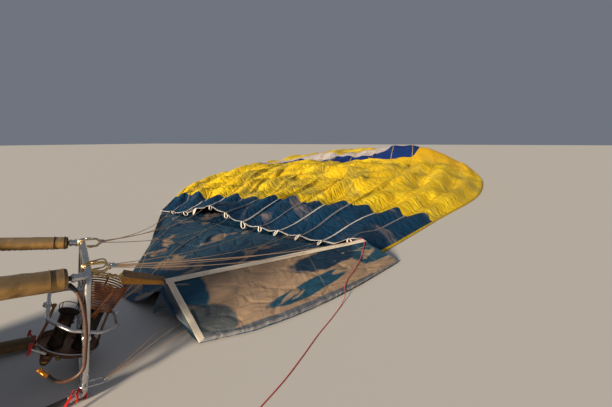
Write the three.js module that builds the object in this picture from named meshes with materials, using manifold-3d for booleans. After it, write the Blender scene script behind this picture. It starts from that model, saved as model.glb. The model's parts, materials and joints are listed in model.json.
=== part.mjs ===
// A hot air balloon after landing: basket and burner frame on their side, envelope spread over the ground.
// Millimetres, +Z up, +Y from basket to crown. Layout points have the middle of the mouth as origin.
import * as THREE from "three";
import { mergeVertices } from "three/addons/utils/BufferGeometryUtils.js";
import Module from "manifold-3d";

const wasm = await Module();
wasm.setup();

// Driving dimensions
const GAP = 0.3;
const CLOTH = 10;

const ENVELOPE = { length: 22300, gores: 12 };
// Half-width of the laid-out envelope at distances along it from the mouth
const OUTLINE = [
  { s: 0, half: 2620 },
  { s: 2100, half: 3600 },
  { s: 5000, half: 4900 },
  { s: 8500, half: 5750 },
  { s: 12500, half: 6200 },
  { s: 16000, half: 5900 },
  { s: 19000, half: 4500 },
  { s: 21300, half: 2300 },
  { s: 22300, half: 260 },
];
const MOUTH_SKEW = -0.29;
const SKEW_REACH = 5000;
// Height of the trapped air along the middle
const LOFT = [
  { s: 0, rise: 90 },
  { s: 2100, rise: 230 },
  { s: 5000, rise: 430 },
  { s: 8800, rise: 700 },
  { s: 11200, rise: 480 },
  { s: 14500, rise: 900 },
  { s: 18000, rise: 900 },
  { s: 21000, rise: 380 },
  { s: 22300, rise: 40 },
];
const CROWN_BULGE = { x: 3700, s: 14200, reachX: 2700, reachS: 3600, rise: 760 };
const MOUTH_ARCH = { x: -900, s: 0, reachX: 620, reachS: 900, rise: 260 };
const MOUTH_CORNER = { x: 2400, s: 0, reachX: 330, reachS: 700, rise: 200 };
const GORE_PLEAT = { rise: 95, fullAt: 400 };
// Upper layer at its side edges: power of its round-off, least rise, and share of a mouth corner's taper
const EDGE = { power: 0.55, least: 30, taper: 0.06 };
const MOUTH_BAND = { top: 2150, scallop: 130 };
// The two diagonal stripes: where each one's edges cross the middle, and the u at which each edge turns and
// climbs by the same height over the crown's bulge
const STRIPES = { slope: 1300, climb: 5000, turn: 0.16 };
const STRIPE_EDGES = {
  blue: { start: 11200, turnAt: 0.49 },
  white: { start: 12900, turnAt: 0.26 },
  crown: { start: 14300, turnAt: 0.13 },
};
const CROWN_SEAM = 14500;
// Crown ring; seat is how far its round side reaches over the edge of the cloth
const CROWN_RING = { radius: 150, tube: 12, seat: 0.8 };

// Burner frame: a tube rectangle standing on its lower side and leaning towards the envelope
const FRAME = {
  x: 746, y: -3728, heading: 35.3, lean: 7.8, edge: 1,
  halfX: 430, halfY: 450, tube: 21, bend: 90,
};
const BASKET = { behind: 850, sizeX: 1000, sizeY: 1200, height: 1050, wall: 35, corner: 130, edge: 20 };
const RIM = { depth: 70, overlap: 20 };
const FLOOR = { thick: 18, runner: 40, runnerWidth: 60, runnerLength: 900, runnerY: 350 };
const SCUFF = { height: 120 };
const CYLINDER = { radius: 125, height: 800, collar: 95 };
// Flexible uprights at the frame's corners; bare is the rod that shows between frame and cover
const UPRIGHT = { rod: 16, socket: 24, socketLength: 90, coverPlay: 0.8 };
const UPRIGHTS = [
  { name: "near_high", x: 1, y: 1, cover: 68, bare: 65 },
  { name: "far_high", x: 1, y: -1, cover: 52, bare: 52 },
  { name: "near_low", x: -1, y: 1, cover: 50, bare: 250 },
  { name: "far_low", x: -1, y: -1, cover: 50, bare: 250 },
];
const KARABINER = { rod: 5, halfLong: 68, halfWide: 25.8, along: 330 };

// Gimbal ring on the frame's two side tubes, and the burner on the ring
const GIMBAL = { rest: 72, halfX: 215, halfY: 372, chamfer: 130, tube: 12, boss: 20, bossTo: 238 };
const PIVOT = { pin: 10, bore: 10.5, reach: 472, boss: 25, bossFrom: 422, boreFrom: 400 };
const COIL = { x: -86, low: 105, high: 160, turns: 12, pitch: 18.2, tube: 6.3, start: 34, riser: 10 };
const PAN = { radius: 203, top: -250, depth: 45, flare: 20, wall: 5 };
// Hangers from the burner's two pivots down to its pan
const HANGER = { x: 179, radius: 9, above: 12, below: -150 };
const JET_CAN = { radius: 62, top: -8, jet: 7 };
const QUIET_CAN = { x: 78, radius: 50, top: -30, flare: 20 };
const VALVES = {
  bottom: -355, block: [70, 70, 44], blockAt: [90, 20],
  stem: 14, stemAt: [36, 70], link: 12,
};
// Red handle beside the pan: the foot of its stem, the stem's end and the half-span of its grip
const LEVER = { foot: [131.5, 141.1], end: [232, 182, -232], stem: 5, grip: 9, gripY: 36, gripZ: 27 };

const HOSE = { radius: 11, coupling: 13 };
// Route of the fuel hose in the burner frame's own axes, from the cover of the near upright
const HOSE_ROUTE = [
  [362, 425, -102],
  [339, 438.5, -75.5],
  [305, 453, -51.5],
  [262, 467, -34.5],
  [206, 479, -21.5],
  [118, 489, -8.5],
  [20, 493, -3.5],
  [-75, 491, -4.5],
  [-160, 487, -7],
  [-196, 484, -14],
  [-228, 479, -34],
  [-250, 473, -64],
  [-260, 467, -100],
  [-256, 460, -136],
  [-238, 453, -169],
  [-210, 445, -194],
];

const WIRE = { radius: 4, apart: 10 };
// Flying wires from the frame's corners to the mouth, by the mouth's own x; drop is the sag at the middle
const HIGH_WIRES = [
  { name: "flying_wire_near_high_1", y: 1, side: 1, mouthX: 2400, drop: 60 },
  { name: "flying_wire_near_high_2", y: 1, side: -1, mouthX: 1100, drop: 90 },
  { name: "flying_wire_far_high_1", y: -1, side: 1, mouthX: -1000, drop: 110 },
  { name: "flying_wire_far_high_2", y: -1, side: -1, mouthX: -2250, drop: 110 },
];
const LOW_WIRES = [
  { name: "flying_wire_near_low", y: 1, via: [[1150, -3170, 75], [1400, -1800, 45]], mouthX: 1600 },
  { name: "flying_wire_far_low", y: -1, via: [[150, -2600, 60], [-350, -1400, 40]], mouthX: -700 },
];

const SCOOP = {
  nose: [907, -3059, 400],
  noseFoot: [1430, -3290],
  foot: [2130, -2700],
  mouthFootX: 2960,
  farNose: [20, -2830],
  farEdge: [-940, -1350],
  mouthLeftX: -2560,
  mouthRightX: 2440,
};
const CHAIN = { at: [415, 435], clear: 2.5, links: 6, long: 50, wide: 28, rod: 4, twist: 0.4 };
const STRAP = { width: 90, thick: 5, endGap: 4 };

const RED_LINE = { radius: 4, startX: 2402, coilTurn: 48, coilHalf: 16, coilHeight: 30, knot: 12 };

// Materials
const finish = (color, roughness, metalness = 0) => {
  return new THREE.MeshStandardMaterial({ color, roughness, metalness });
};
const yellowCloth = finish(0xe9c22a, 0.55);
const navyCloth = finish(0x2f4d68, 0.7);
const royalCloth = finish(0x1d3f86, 0.55);
const whiteCloth = finish(0xcfcdd2, 0.55);
const scoopCloth = finish(0x4a5a68, 0.75);
const strapWebbing = finish(0xb9863f, 0.8);
const steel = finish(0xb9bcc2, 0.25, 1);
const wireSteel = finish(0xa09a92, 0.4, 0.9);
const scorchedSteel = finish(0x8a5a3c, 0.45, 0.9);
const castBlack = finish(0x2a2624, 0.6, 0.4);
const brass = finish(0xb9813a, 0.35, 0.9);
const redPlastic = finish(0xd2231e, 0.5);
const suede = finish(0xa08a62, 0.9);
const blackRod = finish(0x26272a, 0.5);
const wicker = finish(0x9c7038, 0.8);
const rawhide = finish(0x6e4a2b, 0.75);
const plywood = finish(0xa98455, 0.7);
const tankJacket = finish(0x3b3f45, 0.85);
const redRope = finish(0xc4232b, 0.8);
const hoseRubber = finish(0x4a352a, 0.6);

const balloon = new THREE.Group();

// Adds a named mesh to a group.
function add(parent, name, geometry, material) {
  const mesh = new THREE.Mesh(geometry, material);
  mesh.name = name;
  parent.add(mesh);
  return mesh;
}

// Solid work: a geometry becomes a solid, and a solid becomes a geometry again.
function solid(geometry) {
  const bare = geometry.clone();
  bare.deleteAttribute("normal");
  bare.deleteAttribute("uv");
  const merged = mergeVertices(bare, 1e-3);
  const mesh = new wasm.Mesh({
    numProp: 3,
    vertProperties: new Float32Array(merged.attributes.position.array),
    triVerts: new Uint32Array(merged.index.array),
  });
  return new wasm.Manifold(mesh);
}

function geometryOf(shape) {
  const mesh = shape.getMesh();
  const geometry = new THREE.BufferGeometry();
  geometry.setAttribute("position", new THREE.BufferAttribute(mesh.vertProperties, 3));
  geometry.setIndex(new THREE.BufferAttribute(mesh.triVerts, 1));
  return geometry;
}

function join(...geometries) {
  return geometryOf(geometries.map(solid).reduce((whole, piece) => whole.add(piece)));
}

function cut(geometry, ...tools) {
  return geometryOf(tools.map(solid).reduce((whole, tool) => whole.subtract(tool), solid(geometry)));
}

// Straight round bar between two points.
function bar(from, to, radius, sides = 12, radiusTo = radius) {
  const a = new THREE.Vector3(...from);
  const b = new THREE.Vector3(...to);
  const along = b.clone().sub(a);
  const geometry = new THREE.CylinderGeometry(radiusTo, radius, along.length(), sides);
  const turn = new THREE.Quaternion().setFromUnitVectors(
    new THREE.Vector3(0, 1, 0),
    along.clone().normalize(),
  );
  geometry.applyQuaternion(turn);
  return geometry.translate(...a.add(b).multiplyScalar(0.5).toArray());
}

// Round tube along a smooth curve through the points.
function tube(points, radius, sides, steps) {
  const curve = new THREE.CatmullRomCurve3(points.map((p) => new THREE.Vector3(...p)));
  return tubeAlong(curve, radius, sides, steps);
}

function tubeAlong(curve, radius, sides, steps) {
  const circle = new THREE.Shape();
  for (let i = 0; i < sides; i++) {
    const turn = (2 * Math.PI * i) / sides;
    const corner = [radius * Math.cos(turn), radius * Math.sin(turn)];
    if (i === 0) circle.moveTo(...corner);
    else circle.lineTo(...corner);
  }
  return new THREE.ExtrudeGeometry(circle, { extrudePath: curve, steps, curveSegments: 1 });
}

function roundedRectangle(halfX, halfY, radius, path = new THREE.Shape()) {
  path.moveTo(halfX, -halfY + radius);
  path.lineTo(halfX, halfY - radius);
  path.absarc(halfX - radius, halfY - radius, radius, 0, Math.PI / 2);
  path.lineTo(-halfX + radius, halfY);
  path.absarc(-halfX + radius, halfY - radius, radius, Math.PI / 2, Math.PI);
  path.lineTo(-halfX, -halfY + radius);
  path.absarc(-halfX + radius, -halfY + radius, radius, Math.PI, 1.5 * Math.PI);
  path.lineTo(halfX - radius, -halfY);
  path.absarc(halfX - radius, -halfY + radius, radius, 1.5 * Math.PI, 2 * Math.PI);
  return path;
}

// Closed ring with a rectangular outline: outer and inner offsets from the half sizes, from z to z + depth.
function rectangleRing(halfX, halfY, corner, outer, inner, z, depth, bevel = 0, bevelSegments = 2) {
  const shape = roundedRectangle(halfX + outer - bevel, halfY + outer - bevel, corner + outer - bevel);
  const hole = roundedRectangle(
    halfX + inner + bevel,
    halfY + inner + bevel,
    Math.max(corner + inner + bevel, 20),
    new THREE.Path(),
  );
  shape.holes.push(hole);
  const options = {
    depth: depth - 2 * bevel,
    bevelEnabled: bevel > 0,
    bevelThickness: bevel,
    bevelSize: bevel,
    bevelSegments,
    curveSegments: 3,
  };
  return new THREE.ExtrudeGeometry(shape, options).translate(0, 0, z + bevel);
}

// Lathe about +Z from a profile of [radius, z] that starts and ends on the axis or closes on itself.
function lathe(profile, segments = 24) {
  const points = profile.map(([r, z]) => new THREE.Vector2(r, z));
  return new THREE.LatheGeometry(points, segments).rotateX(Math.PI / 2);
}

// Smooth value from a table of stations, by the column named.
function along(table, column) {
  const curve = new THREE.SplineCurve(table.map((row) => new THREE.Vector2(row.s, row[column])));
  const samples = curve.getPoints(200);
  return (s) => {
    const next = samples.findIndex((p) => p.x >= s);
    if (next <= 0) return next === 0 ? samples[0].y : samples.at(-1).y;
    const [a, b] = [samples[next - 1], samples[next]];
    return THREE.MathUtils.lerp(a.y, b.y, (s - a.x) / (b.x - a.x));
  };
}

const halfWidth = along(OUTLINE, "half");
const loft = along(LOFT, "rise");

// Ground point of the envelope at u across, from -1 to 1, and s along.
function laid(u, s) {
  const skew = MOUTH_SKEW * Math.max(0, 1 - s / SKEW_REACH) ** 2;
  const x = u * halfWidth(s);
  return [x, s + skew * x];
}

// Rise of a round hill over the ground.
function hill(x, s, { x: x0, s: s0, reachX, reachS, rise }) {
  return rise * Math.exp(-(((x - x0) / reachX) ** 2) - ((s - s0) / reachS) ** 2);
}

// Height of the upper layer over the ground layer.
function rise(u, s) {
  const x = u * halfWidth(s);
  const edge = (1 - u * u) ** EDGE.power;
  const full = Math.min(1, loft(s) / GORE_PLEAT.fullAt);
  const pleat = GORE_PLEAT.rise * Math.cos(Math.PI * ENVELOPE.gores * u) * full;
  const body = loft(s) + hill(x, s, CROWN_BULGE) + hill(x, s, MOUTH_ARCH) + pleat;
  const corner = hill(x, s, MOUTH_CORNER) * Math.min(1, (1 - Math.abs(u)) / EDGE.taper);
  return Math.max(body, EDGE.least) * edge + corner;
}

// Ground line of the mouth, and the underside of the upper layer over it.
const mouthY = (x) => MOUTH_SKEW * x;
const mouthHeight = (x) => CLOTH + GAP + rise(x / halfWidth(0), 0);

// Closed sheet: a box whose faces follow a surface, CLOTH thick upwards. The underside's squares are split
// along the same diagonals as the top's, or a twisted sheet would cut itself.
function sheet(columns, rows, surface) {
  const geometry = new THREE.BoxGeometry(1, 1, 1, columns, rows, 1);
  const position = geometry.getAttribute("position");
  for (let i = 0; i < position.count; i++) {
    const [x, y, z] = surface(position.getX(i) + 0.5, position.getY(i) + 0.5);
    position.setXYZ(i, x, y, z + (position.getZ(i) + 0.5) * CLOTH);
  }
  const { start, count } = geometry.groups[5];
  const index = geometry.index.array;
  for (let i = start; i < start + count; i += 6) {
    const [a, b, d, , c] = index.slice(i, i + 6);
    index.set([a, b, c, a, c, d], i);
  }
  return geometry;
}

// Panel of the upper layer, between two seams that are functions of u.
function upperPanel(uFrom, uTo, seamFrom, seamTo, columns, rows) {
  return sheet(columns, rows, (across, up) => {
    const u = THREE.MathUtils.lerp(uFrom, uTo, across);
    const s = THREE.MathUtils.lerp(seamFrom(u) + GAP / 2, seamTo(u) - GAP / 2, up);
    const [x, y] = laid(u, s);
    return [x, y, CLOTH + GAP + rise(u, s)];
  });
}

function groundPanel(sFrom, sTo, columns, rows) {
  return sheet(columns, rows, (across, up) => {
    const s = THREE.MathUtils.lerp(sFrom + GAP / 2, sTo - GAP / 2, up);
    const [x, y] = laid(2 * across - 1, s);
    return [x, y, 0];
  });
}

const COLUMNS = 2 * ENVELOPE.gores;
const mouthSeam = () => 0;
const bandSeam = (u) => MOUTH_BAND.top - MOUTH_BAND.scallop * Math.cos(Math.PI * ENVELOPE.gores * u);
const stripeEdge = ({ start, turnAt }) => (u) => {
  const climbed = THREE.MathUtils.smoothstep(u, turnAt, turnAt + STRIPES.turn);
  return start + STRIPES.slope * u + STRIPES.climb * climbed;
};
const blueSeam = stripeEdge(STRIPE_EDGES.blue);
const whiteSeam = stripeEdge(STRIPE_EDGES.white);
const crownSeam = stripeEdge(STRIPE_EDGES.crown);
const crownEnd = () => ENVELOPE.length;

function addEnvelope() {
  const bands = [
    { name: "mouth_band", from: mouthSeam, to: bandSeam, rows: 4, cloth: navyCloth },
    { name: "blue_stripe", from: blueSeam, to: whiteSeam, rows: 3, cloth: royalCloth },
    { name: "white_stripe", from: whiteSeam, to: crownSeam, rows: 3, cloth: whiteCloth },
    { name: "crown_panel", from: crownSeam, to: crownEnd, rows: 9, cloth: yellowCloth },
  ];
  for (const { name, from, to, rows, cloth } of bands) {
    add(balloon, name, upperPanel(-1, 1, from, to, COLUMNS, rows), cloth);
  }
  const goreGroups = [
    { name: "yellow_gores_left", from: -1, to: -1 / 3 },
    { name: "yellow_gores_middle", from: -1 / 3, to: 1 / 3 },
    { name: "yellow_gores_right", from: 1 / 3, to: 1 },
  ];
  // Half of the gap between two groups of gores, as a share of the half-width
  const slit = GAP / 8000;
  for (const { name, from, to } of goreGroups) {
    const panel = upperPanel(from + slit, to - slit, bandSeam, blueSeam, COLUMNS / 3, 12);
    add(balloon, name, panel, yellowCloth);
  }
  const groundLayers = [
    { name: "mouth_band_ground_side", from: 0, to: MOUTH_BAND.top, rows: 2, cloth: navyCloth },
    { name: "yellow_gores_ground_side", from: MOUTH_BAND.top, to: CROWN_SEAM, rows: 8, cloth: yellowCloth },
    { name: "crown_ground_side", from: CROWN_SEAM, to: ENVELOPE.length, rows: 8, cloth: yellowCloth },
  ];
  for (const { name, from, to, rows, cloth } of groundLayers) {
    add(balloon, name, groundPanel(from, to, 8, rows), cloth);
  }
  const { radius, tube: rod, seat } = CROWN_RING;
  const ring = new THREE.TorusGeometry(radius, rod, 8, 24);
  ring.translate(0, ENVELOPE.length + radius + rod + GAP - seat, rod);
  add(balloon, "crown_ring", ring, steel);
}

// Group whose X is up, Y the near side and Z the way to the envelope, leaning by an angle.
function gondolaGroup(back, height, lean) {
  const heading = THREE.MathUtils.degToRad(FRAME.heading);
  const ahead = new THREE.Vector3(Math.sin(heading), Math.cos(heading), 0);
  const near = new THREE.Vector3(Math.cos(heading), -Math.sin(heading), 0);
  const up = new THREE.Vector3(0, 0, 1);
  const group = new THREE.Group();
  group.position.set(FRAME.x, FRAME.y, height).addScaledVector(ahead, -back);
  group.quaternion.setFromRotationMatrix(new THREE.Matrix4().makeBasis(up, near, ahead));
  group.rotateY(THREE.MathUtils.degToRad(lean));
  balloon.add(group);
  group.updateMatrixWorld(true);
  return group;
}

const frameLean = THREE.MathUtils.degToRad(FRAME.lean);
const frameHeight = FRAME.halfX * Math.cos(frameLean) + FRAME.tube + FRAME.edge;
const burnerFrame = gondolaGroup(0, frameHeight, -FRAME.lean);
const basket = gondolaGroup(BASKET.behind, BASKET.sizeX / 2 + BASKET.edge, 0);

// A group's own point, in the layout.
function place(group, point) {
  return group.localToWorld(new THREE.Vector3(...point)).toArray();
}

function addBasket() {
  const { sizeX, sizeY, height, wall, corner, edge } = BASKET;
  const [halfX, halfY] = [sizeX / 2, sizeY / 2];
  const ring = (outer, inner, z, depth, bevel = 0) => {
    return rectangleRing(halfX, halfY, corner, outer, inner, z, depth, bevel);
  };
  add(basket, "basket_rim", ring(edge, -wall - RIM.overlap, -RIM.depth, RIM.depth, 18), rawhide);
  add(basket, "basket_weave", ring(0, -wall, -height, height - RIM.depth - GAP), wicker);
  const floorTop = -height - GAP;
  const floor = new THREE.ExtrudeGeometry(roundedRectangle(halfX, halfY, corner), {
    depth: FLOOR.thick,
    bevelEnabled: false,
    curveSegments: 3,
  });
  add(basket, "basket_floor", floor.translate(0, 0, floorTop - FLOOR.thick), plywood);
  const scuff = ring(edge, GAP, floorTop - FLOOR.thick, SCUFF.height, 6);
  add(basket, "basket_scuff_band", scuff, rawhide);
  [-1, 1].forEach((side, i) => {
    const runner = new THREE.BoxGeometry(FLOOR.runnerLength, FLOOR.runnerWidth, FLOOR.runner);
    const z = floorTop - FLOOR.thick - GAP - FLOOR.runner / 2;
    runner.translate(0, side * FLOOR.runnerY, z);
    add(basket, `floor_runner_${i + 1}`, runner, plywood);
  });
  const { radius, height: tall, collar } = CYLINDER;
  const profile = [
    [0, 0],
    [collar, 0],
    [collar + 5, 30],
    [radius, 60],
    [radius, tall - 150],
    [collar, tall - 90],
    [collar, tall],
    [collar - 8, tall],
    [collar - 8, tall - 84],
    [0, tall - 60],
  ];
  let count = 1;
  for (const x of [-1, 1]) {
    for (const y of [-1, 1]) {
      const centre = [x * (halfX - wall - radius - GAP), y * (halfY - wall - radius - GAP)];
      const bottle = lathe(profile, 24).translate(...centre, -height + GAP);
      add(basket, `fuel_cylinder_${count++}`, bottle, tankJacket);
    }
  }
}

// Middle of a frame corner's bend, in the frame's axes.
function frameCorner(x, y) {
  const inset = FRAME.bend * (1 - Math.SQRT1_2);
  return [x * (FRAME.halfX - inset), y * (FRAME.halfY - inset), 0];
}

// Middle of the rim at a basket corner, in the basket's axes.
function rimCorner(x, y) {
  const { sizeX, sizeY, wall, corner, edge } = BASKET;
  const middle = corner + (edge - wall - RIM.overlap) / 2;
  const inset = corner - middle * Math.SQRT1_2;
  return [x * (sizeX / 2 - inset), y * (sizeY / 2 - inset), 0];
}

// Ends of an upright in the layout: the frame's corner and the basket's rim.
function uprightLine({ x, y }) {
  const from = new THREE.Vector3(...place(burnerFrame, frameCorner(x, y)));
  const to = new THREE.Vector3(...place(basket, rimCorner(x, y)));
  const way = to.clone().sub(from).normalize();
  const rimNormal = basket.localToWorld(new THREE.Vector3(0, 0, 1)).sub(basket.position);
  const slant = Math.sqrt(1 - way.dot(rimNormal) ** 2);
  return { from, to, way, slant };
}

function addLoadFrame() {
  const { halfX, halfY, tube: radius, bend } = FRAME;
  const ring = rectangleRing(halfX, halfY, bend, radius, -radius, -radius, 2 * radius, 13, 3);
  const sockets = UPRIGHTS.map((upright) => {
    const { from, way } = uprightLine(upright);
    const end = from.clone().addScaledVector(way, UPRIGHT.socketLength);
    const local = burnerFrame.worldToLocal(end).toArray();
    return bar(frameCorner(upright.x, upright.y), local, UPRIGHT.socket);
  });
  const across = (y, from, to, r) => bar([0, y * from, 0], [0, y * to, 0], r, 16);
  const bosses = [-1, 1].map((y) => across(y, PIVOT.bossFrom, PIVOT.reach + 4, PIVOT.boss));
  const bores = [-1, 1].map((y) => across(y, PIVOT.boreFrom, PIVOT.reach + 14, PIVOT.bore));
  add(burnerFrame, "load_frame", cut(join(ring, ...sockets, ...bosses), ...bores), steel);
}

function addUprights() {
  for (const upright of UPRIGHTS) {
    const { from, to, way, slant } = uprightLine(upright);
    const span = to.distanceTo(from);
    const point = (distance) => from.clone().addScaledVector(way, distance).toArray();
    const rodEnd = span - UPRIGHT.rod * slant - GAP;
    const rod = bar(point(UPRIGHT.socketLength + GAP), point(rodEnd), UPRIGHT.rod);
    add(balloon, `upright_rod_${upright.name}`, rod, blackRod);
    const start = UPRIGHT.socketLength / 2 + upright.bare;
    const end = span - upright.cover * slant - GAP;
    const bore = UPRIGHT.rod + UPRIGHT.coverPlay;
    const sleeve = lathe([
      [bore, start],
      [upright.cover, start],
      [upright.cover, end],
      [bore, end],
      [bore, start],
    ]);
    const turn = new THREE.Quaternion().setFromUnitVectors(new THREE.Vector3(0, 0, 1), way);
    sleeve.applyQuaternion(turn).translate(...from.toArray());
    add(balloon, `upright_cover_${upright.name}`, sleeve, suede);
  }
}

// Long ring of round bar in the XY plane, with its length along Y.
function longRing(halfLong, halfWide, rod, bendSegments = 6, bevelSegments = 2) {
  const points = [];
  const straight = halfLong - halfWide;
  for (const [end, from] of [[1, 0], [-1, Math.PI]]) {
    for (let i = 0; i <= bendSegments; i++) {
      const turn = from + (Math.PI * i) / bendSegments;
      points.push([halfWide * Math.cos(turn), end * straight + halfWide * Math.sin(turn)]);
    }
  }
  const outline = (offset) => {
    const grown = 1 + offset / halfWide;
    return points.map(([x, y]) => {
      const end = Math.sign(y) * straight;
      return new THREE.Vector2(x * grown, end + (y - end) * grown);
    });
  };
  const shape = new THREE.Shape(outline(rod * 0.35));
  shape.holes.push(new THREE.Path(outline(-rod * 0.35)));
  return new THREE.ExtrudeGeometry(shape, {
    depth: 0.7 * rod,
    bevelThickness: 0.65 * rod,
    bevelSize: 0.65 * rod,
    bevelSegments,
  }).translate(0, 0, -0.35 * rod);
}

// Where a corner's karabiner lies: round the upper tube for the high ones, round a side tube for the low.
function karabinerPlace(x, y) {
  const { along, halfLong, halfWide } = KARABINER;
  const forward = halfLong - halfWide;
  return x > 0 ? [FRAME.halfX, y * along, forward] : [-along, y * FRAME.halfY, forward];
}

function addKarabiners() {
  const { rod, halfLong, halfWide } = KARABINER;
  for (const { name, x, y } of UPRIGHTS) {
    const ring = longRing(halfLong + rod, halfWide + rod, rod).rotateX(Math.PI / 2);
    if (x < 0) ring.rotateZ(Math.PI / 2);
    add(burnerFrame, `karabiner_${name}`, ring.translate(...karabinerPlace(x, y)), steel);
  }
}

// Distance at which a wire's slanting end just clears what it is fastened to.
function wireStop(start, end, normal) {
  const way = new THREE.Vector3(...end).sub(new THREE.Vector3(...start)).normalize();
  return WIRE.radius * Math.sqrt(1 - way.dot(normal) ** 2) + GAP / 2;
}

// Start of a wire at the far end of a karabiner, in the layout, on its way to an end.
function wireStart(x, y, side, end) {
  const [px, py, pz] = karabinerPlace(x, y);
  const reach = pz + KARABINER.halfLong + 2 * KARABINER.rod;
  const point = [px + side * WIRE.apart / 2, py];
  const forward = new THREE.Vector3(0, 0, 1).transformDirection(burnerFrame.matrixWorld);
  const stop = wireStop(place(burnerFrame, [...point, reach]), end, forward);
  return place(burnerFrame, [...point, reach + stop]);
}

function addWires() {
  for (const { name, y, side, mouthX, drop } of HIGH_WIRES) {
    const end = [mouthX, mouthY(mouthX), mouthHeight(mouthX) + CLOTH / 2];
    const start = wireStart(1, y, side, end);
    end[1] -= wireStop(start, end, new THREE.Vector3(-MOUTH_SKEW, 1, 0).normalize());
    const points = [0, 0.25, 0.5, 0.75, 1].map((t) => {
      const sag = 4 * drop * t * (1 - t);
      return start.map((value, i) => THREE.MathUtils.lerp(value, end[i], t) - (i === 2 ? sag : 0));
    });
    add(balloon, name, tube(points, WIRE.radius, 8, 16), wireSteel);
  }
  for (const { name, y, via, mouthX } of LOW_WIRES) {
    const rest = CLOTH + GAP + WIRE.radius + 0.2;
    const end = [mouthX, mouthY(mouthX) + 60, rest];
    add(balloon, name, tube([wireStart(-1, y, 0, via[0]), ...via, end], WIRE.radius, 8, 24), wireSteel);
  }
}

// Point on a line through stations, at a share of the way from the first to the last.
function lineAt(points, share) {
  const place = Math.min(share, 0.9999) * (points.length - 1);
  const index = Math.floor(place);
  const [a, b] = [points[index], points[index + 1]];
  return a.map((value, i) => THREE.MathUtils.lerp(value, b[i], place - index));
}

const scoopLines = {
  far: [SCOOP.farNose, SCOOP.farEdge, [SCOOP.mouthLeftX, mouthY(SCOOP.mouthLeftX) - GAP]],
  foot: [SCOOP.noseFoot, SCOOP.foot, [SCOOP.mouthFootX, mouthY(SCOOP.mouthFootX) - GAP]],
  hem: [
    SCOOP.nose,
    [SCOOP.mouthRightX, mouthY(SCOOP.mouthRightX) - GAP, mouthHeight(SCOOP.mouthRightX)],
  ],
};

function scoopSide(across, up) {
  const foot = [...lineAt(scoopLines.foot, up), CLOTH + GAP];
  const hem = lineAt(scoopLines.hem, up);
  return foot.map((value, i) => THREE.MathUtils.lerp(value, hem[i], across));
}

function addScoop() {
  const ground = sheet(6, 8, (across, up) => {
    const [far, foot] = [lineAt(scoopLines.far, up), lineAt(scoopLines.foot, up)];
    return [...far.map((value, i) => THREE.MathUtils.lerp(value, foot[i], across)), 0];
  });
  add(balloon, "scoop_ground_panel", ground, scoopCloth);
  add(balloon, "scoop_side_panel", sheet(4, 10, (across, up) => scoopSide(1 - across, up)), scoopCloth);

  const start = [...CHAIN.at, FRAME.tube + CHAIN.rod + CHAIN.clear];
  const from = new THREE.Vector3(...place(burnerFrame, start));
  const to = new THREE.Vector3(...SCOOP.nose);
  to.z += CLOTH / 2;
  const way = to.clone().sub(from).normalize();
  const step = CHAIN.long - 1;
  const links = [];
  for (let i = 0; i < CHAIN.links; i++) {
    const link = longRing(CHAIN.long / 2, CHAIN.wide / 2, CHAIN.rod, 3, 1);
    link.rotateY((i % 2) * Math.PI * 0.5 + CHAIN.twist);
    const turn = new THREE.Quaternion().setFromUnitVectors(new THREE.Vector3(0, 1, 0), way);
    const centre = from.clone().addScaledVector(way, CHAIN.long / 2 + i * step);
    links.push(link.applyQuaternion(turn).translate(...centre.toArray()));
  }
  add(balloon, "scoop_chain", join(...links), steel);
  const strapFrom = CHAIN.long + (CHAIN.links - 1) * step + CHAIN.rod / 2;
  const length = to.distanceTo(from) - strapFrom - STRAP.endGap;
  const strap = new THREE.BoxGeometry(STRAP.width, length, STRAP.thick, 1, 8, 1);
  const side = new THREE.Vector3().crossVectors(way, new THREE.Vector3(0, 0, 1)).normalize();
  const flat = new THREE.Vector3().crossVectors(side, way);
  strap.translate(0, strapFrom + length / 2, 0);
  strap.applyMatrix4(new THREE.Matrix4().makeBasis(flat, way, side.negate()));
  add(balloon, "scoop_strap", strap.translate(...from.toArray()), strapWebbing);
}

function addHose() {
  add(burnerFrame, "fuel_hose", tube(HOSE_ROUTE, HOSE.radius, 10, 44), hoseRubber);
  const [last, before] = [HOSE_ROUTE.at(-1), HOSE_ROUTE.at(-2)].map((p) => new THREE.Vector3(...p));
  const way = last.clone().sub(before).normalize();
  const from = last.clone().addScaledVector(way, GAP + 0.5);
  const to = from.clone().addScaledVector(way, 70);
  add(burnerFrame, "hose_coupling", bar(from.toArray(), to.toArray(), HOSE.coupling, 12), brass);
}

// Ring of round tube on an eight-sided outline, with its corners cut at 45 degrees.
function eightSidedRing({ halfX, halfY, chamfer, tube: radius }) {
  const outline = (offset) => {
    const [x, y] = [halfX + offset, halfY + offset];
    const cutOff = chamfer + offset * (2 - Math.SQRT2);
    return [
      [x, -y + cutOff], [x, y - cutOff], [x - cutOff, y], [-x + cutOff, y],
      [-x, y - cutOff], [-x, -y + cutOff], [-x + cutOff, -y], [x - cutOff, -y],
    ].map(([px, py]) => new THREE.Vector2(px, py));
  };
  const shape = new THREE.Shape(outline(radius * 0.4));
  shape.holes.push(new THREE.Path(outline(-radius * 0.4)));
  return new THREE.ExtrudeGeometry(shape, {
    depth: 0.8 * radius,
    bevelThickness: 0.6 * radius,
    bevelSize: 0.6 * radius,
    bevelSegments: 3,
  }).translate(0, 0, -0.4 * radius);
}

// Cone-shaped coil of tube about +Z, its foot at the start height.
class CoilCurve extends THREE.Curve {
  getPoint(t, target = new THREE.Vector3()) {
    const radius = THREE.MathUtils.lerp(COIL.low, COIL.high, t);
    const turn = 2 * Math.PI * COIL.turns * t + Math.PI / 2;
    const z = COIL.start + COIL.turns * COIL.pitch * t;
    return target.set(COIL.x + radius * Math.cos(turn), radius * Math.sin(turn), z);
  }
}

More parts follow.
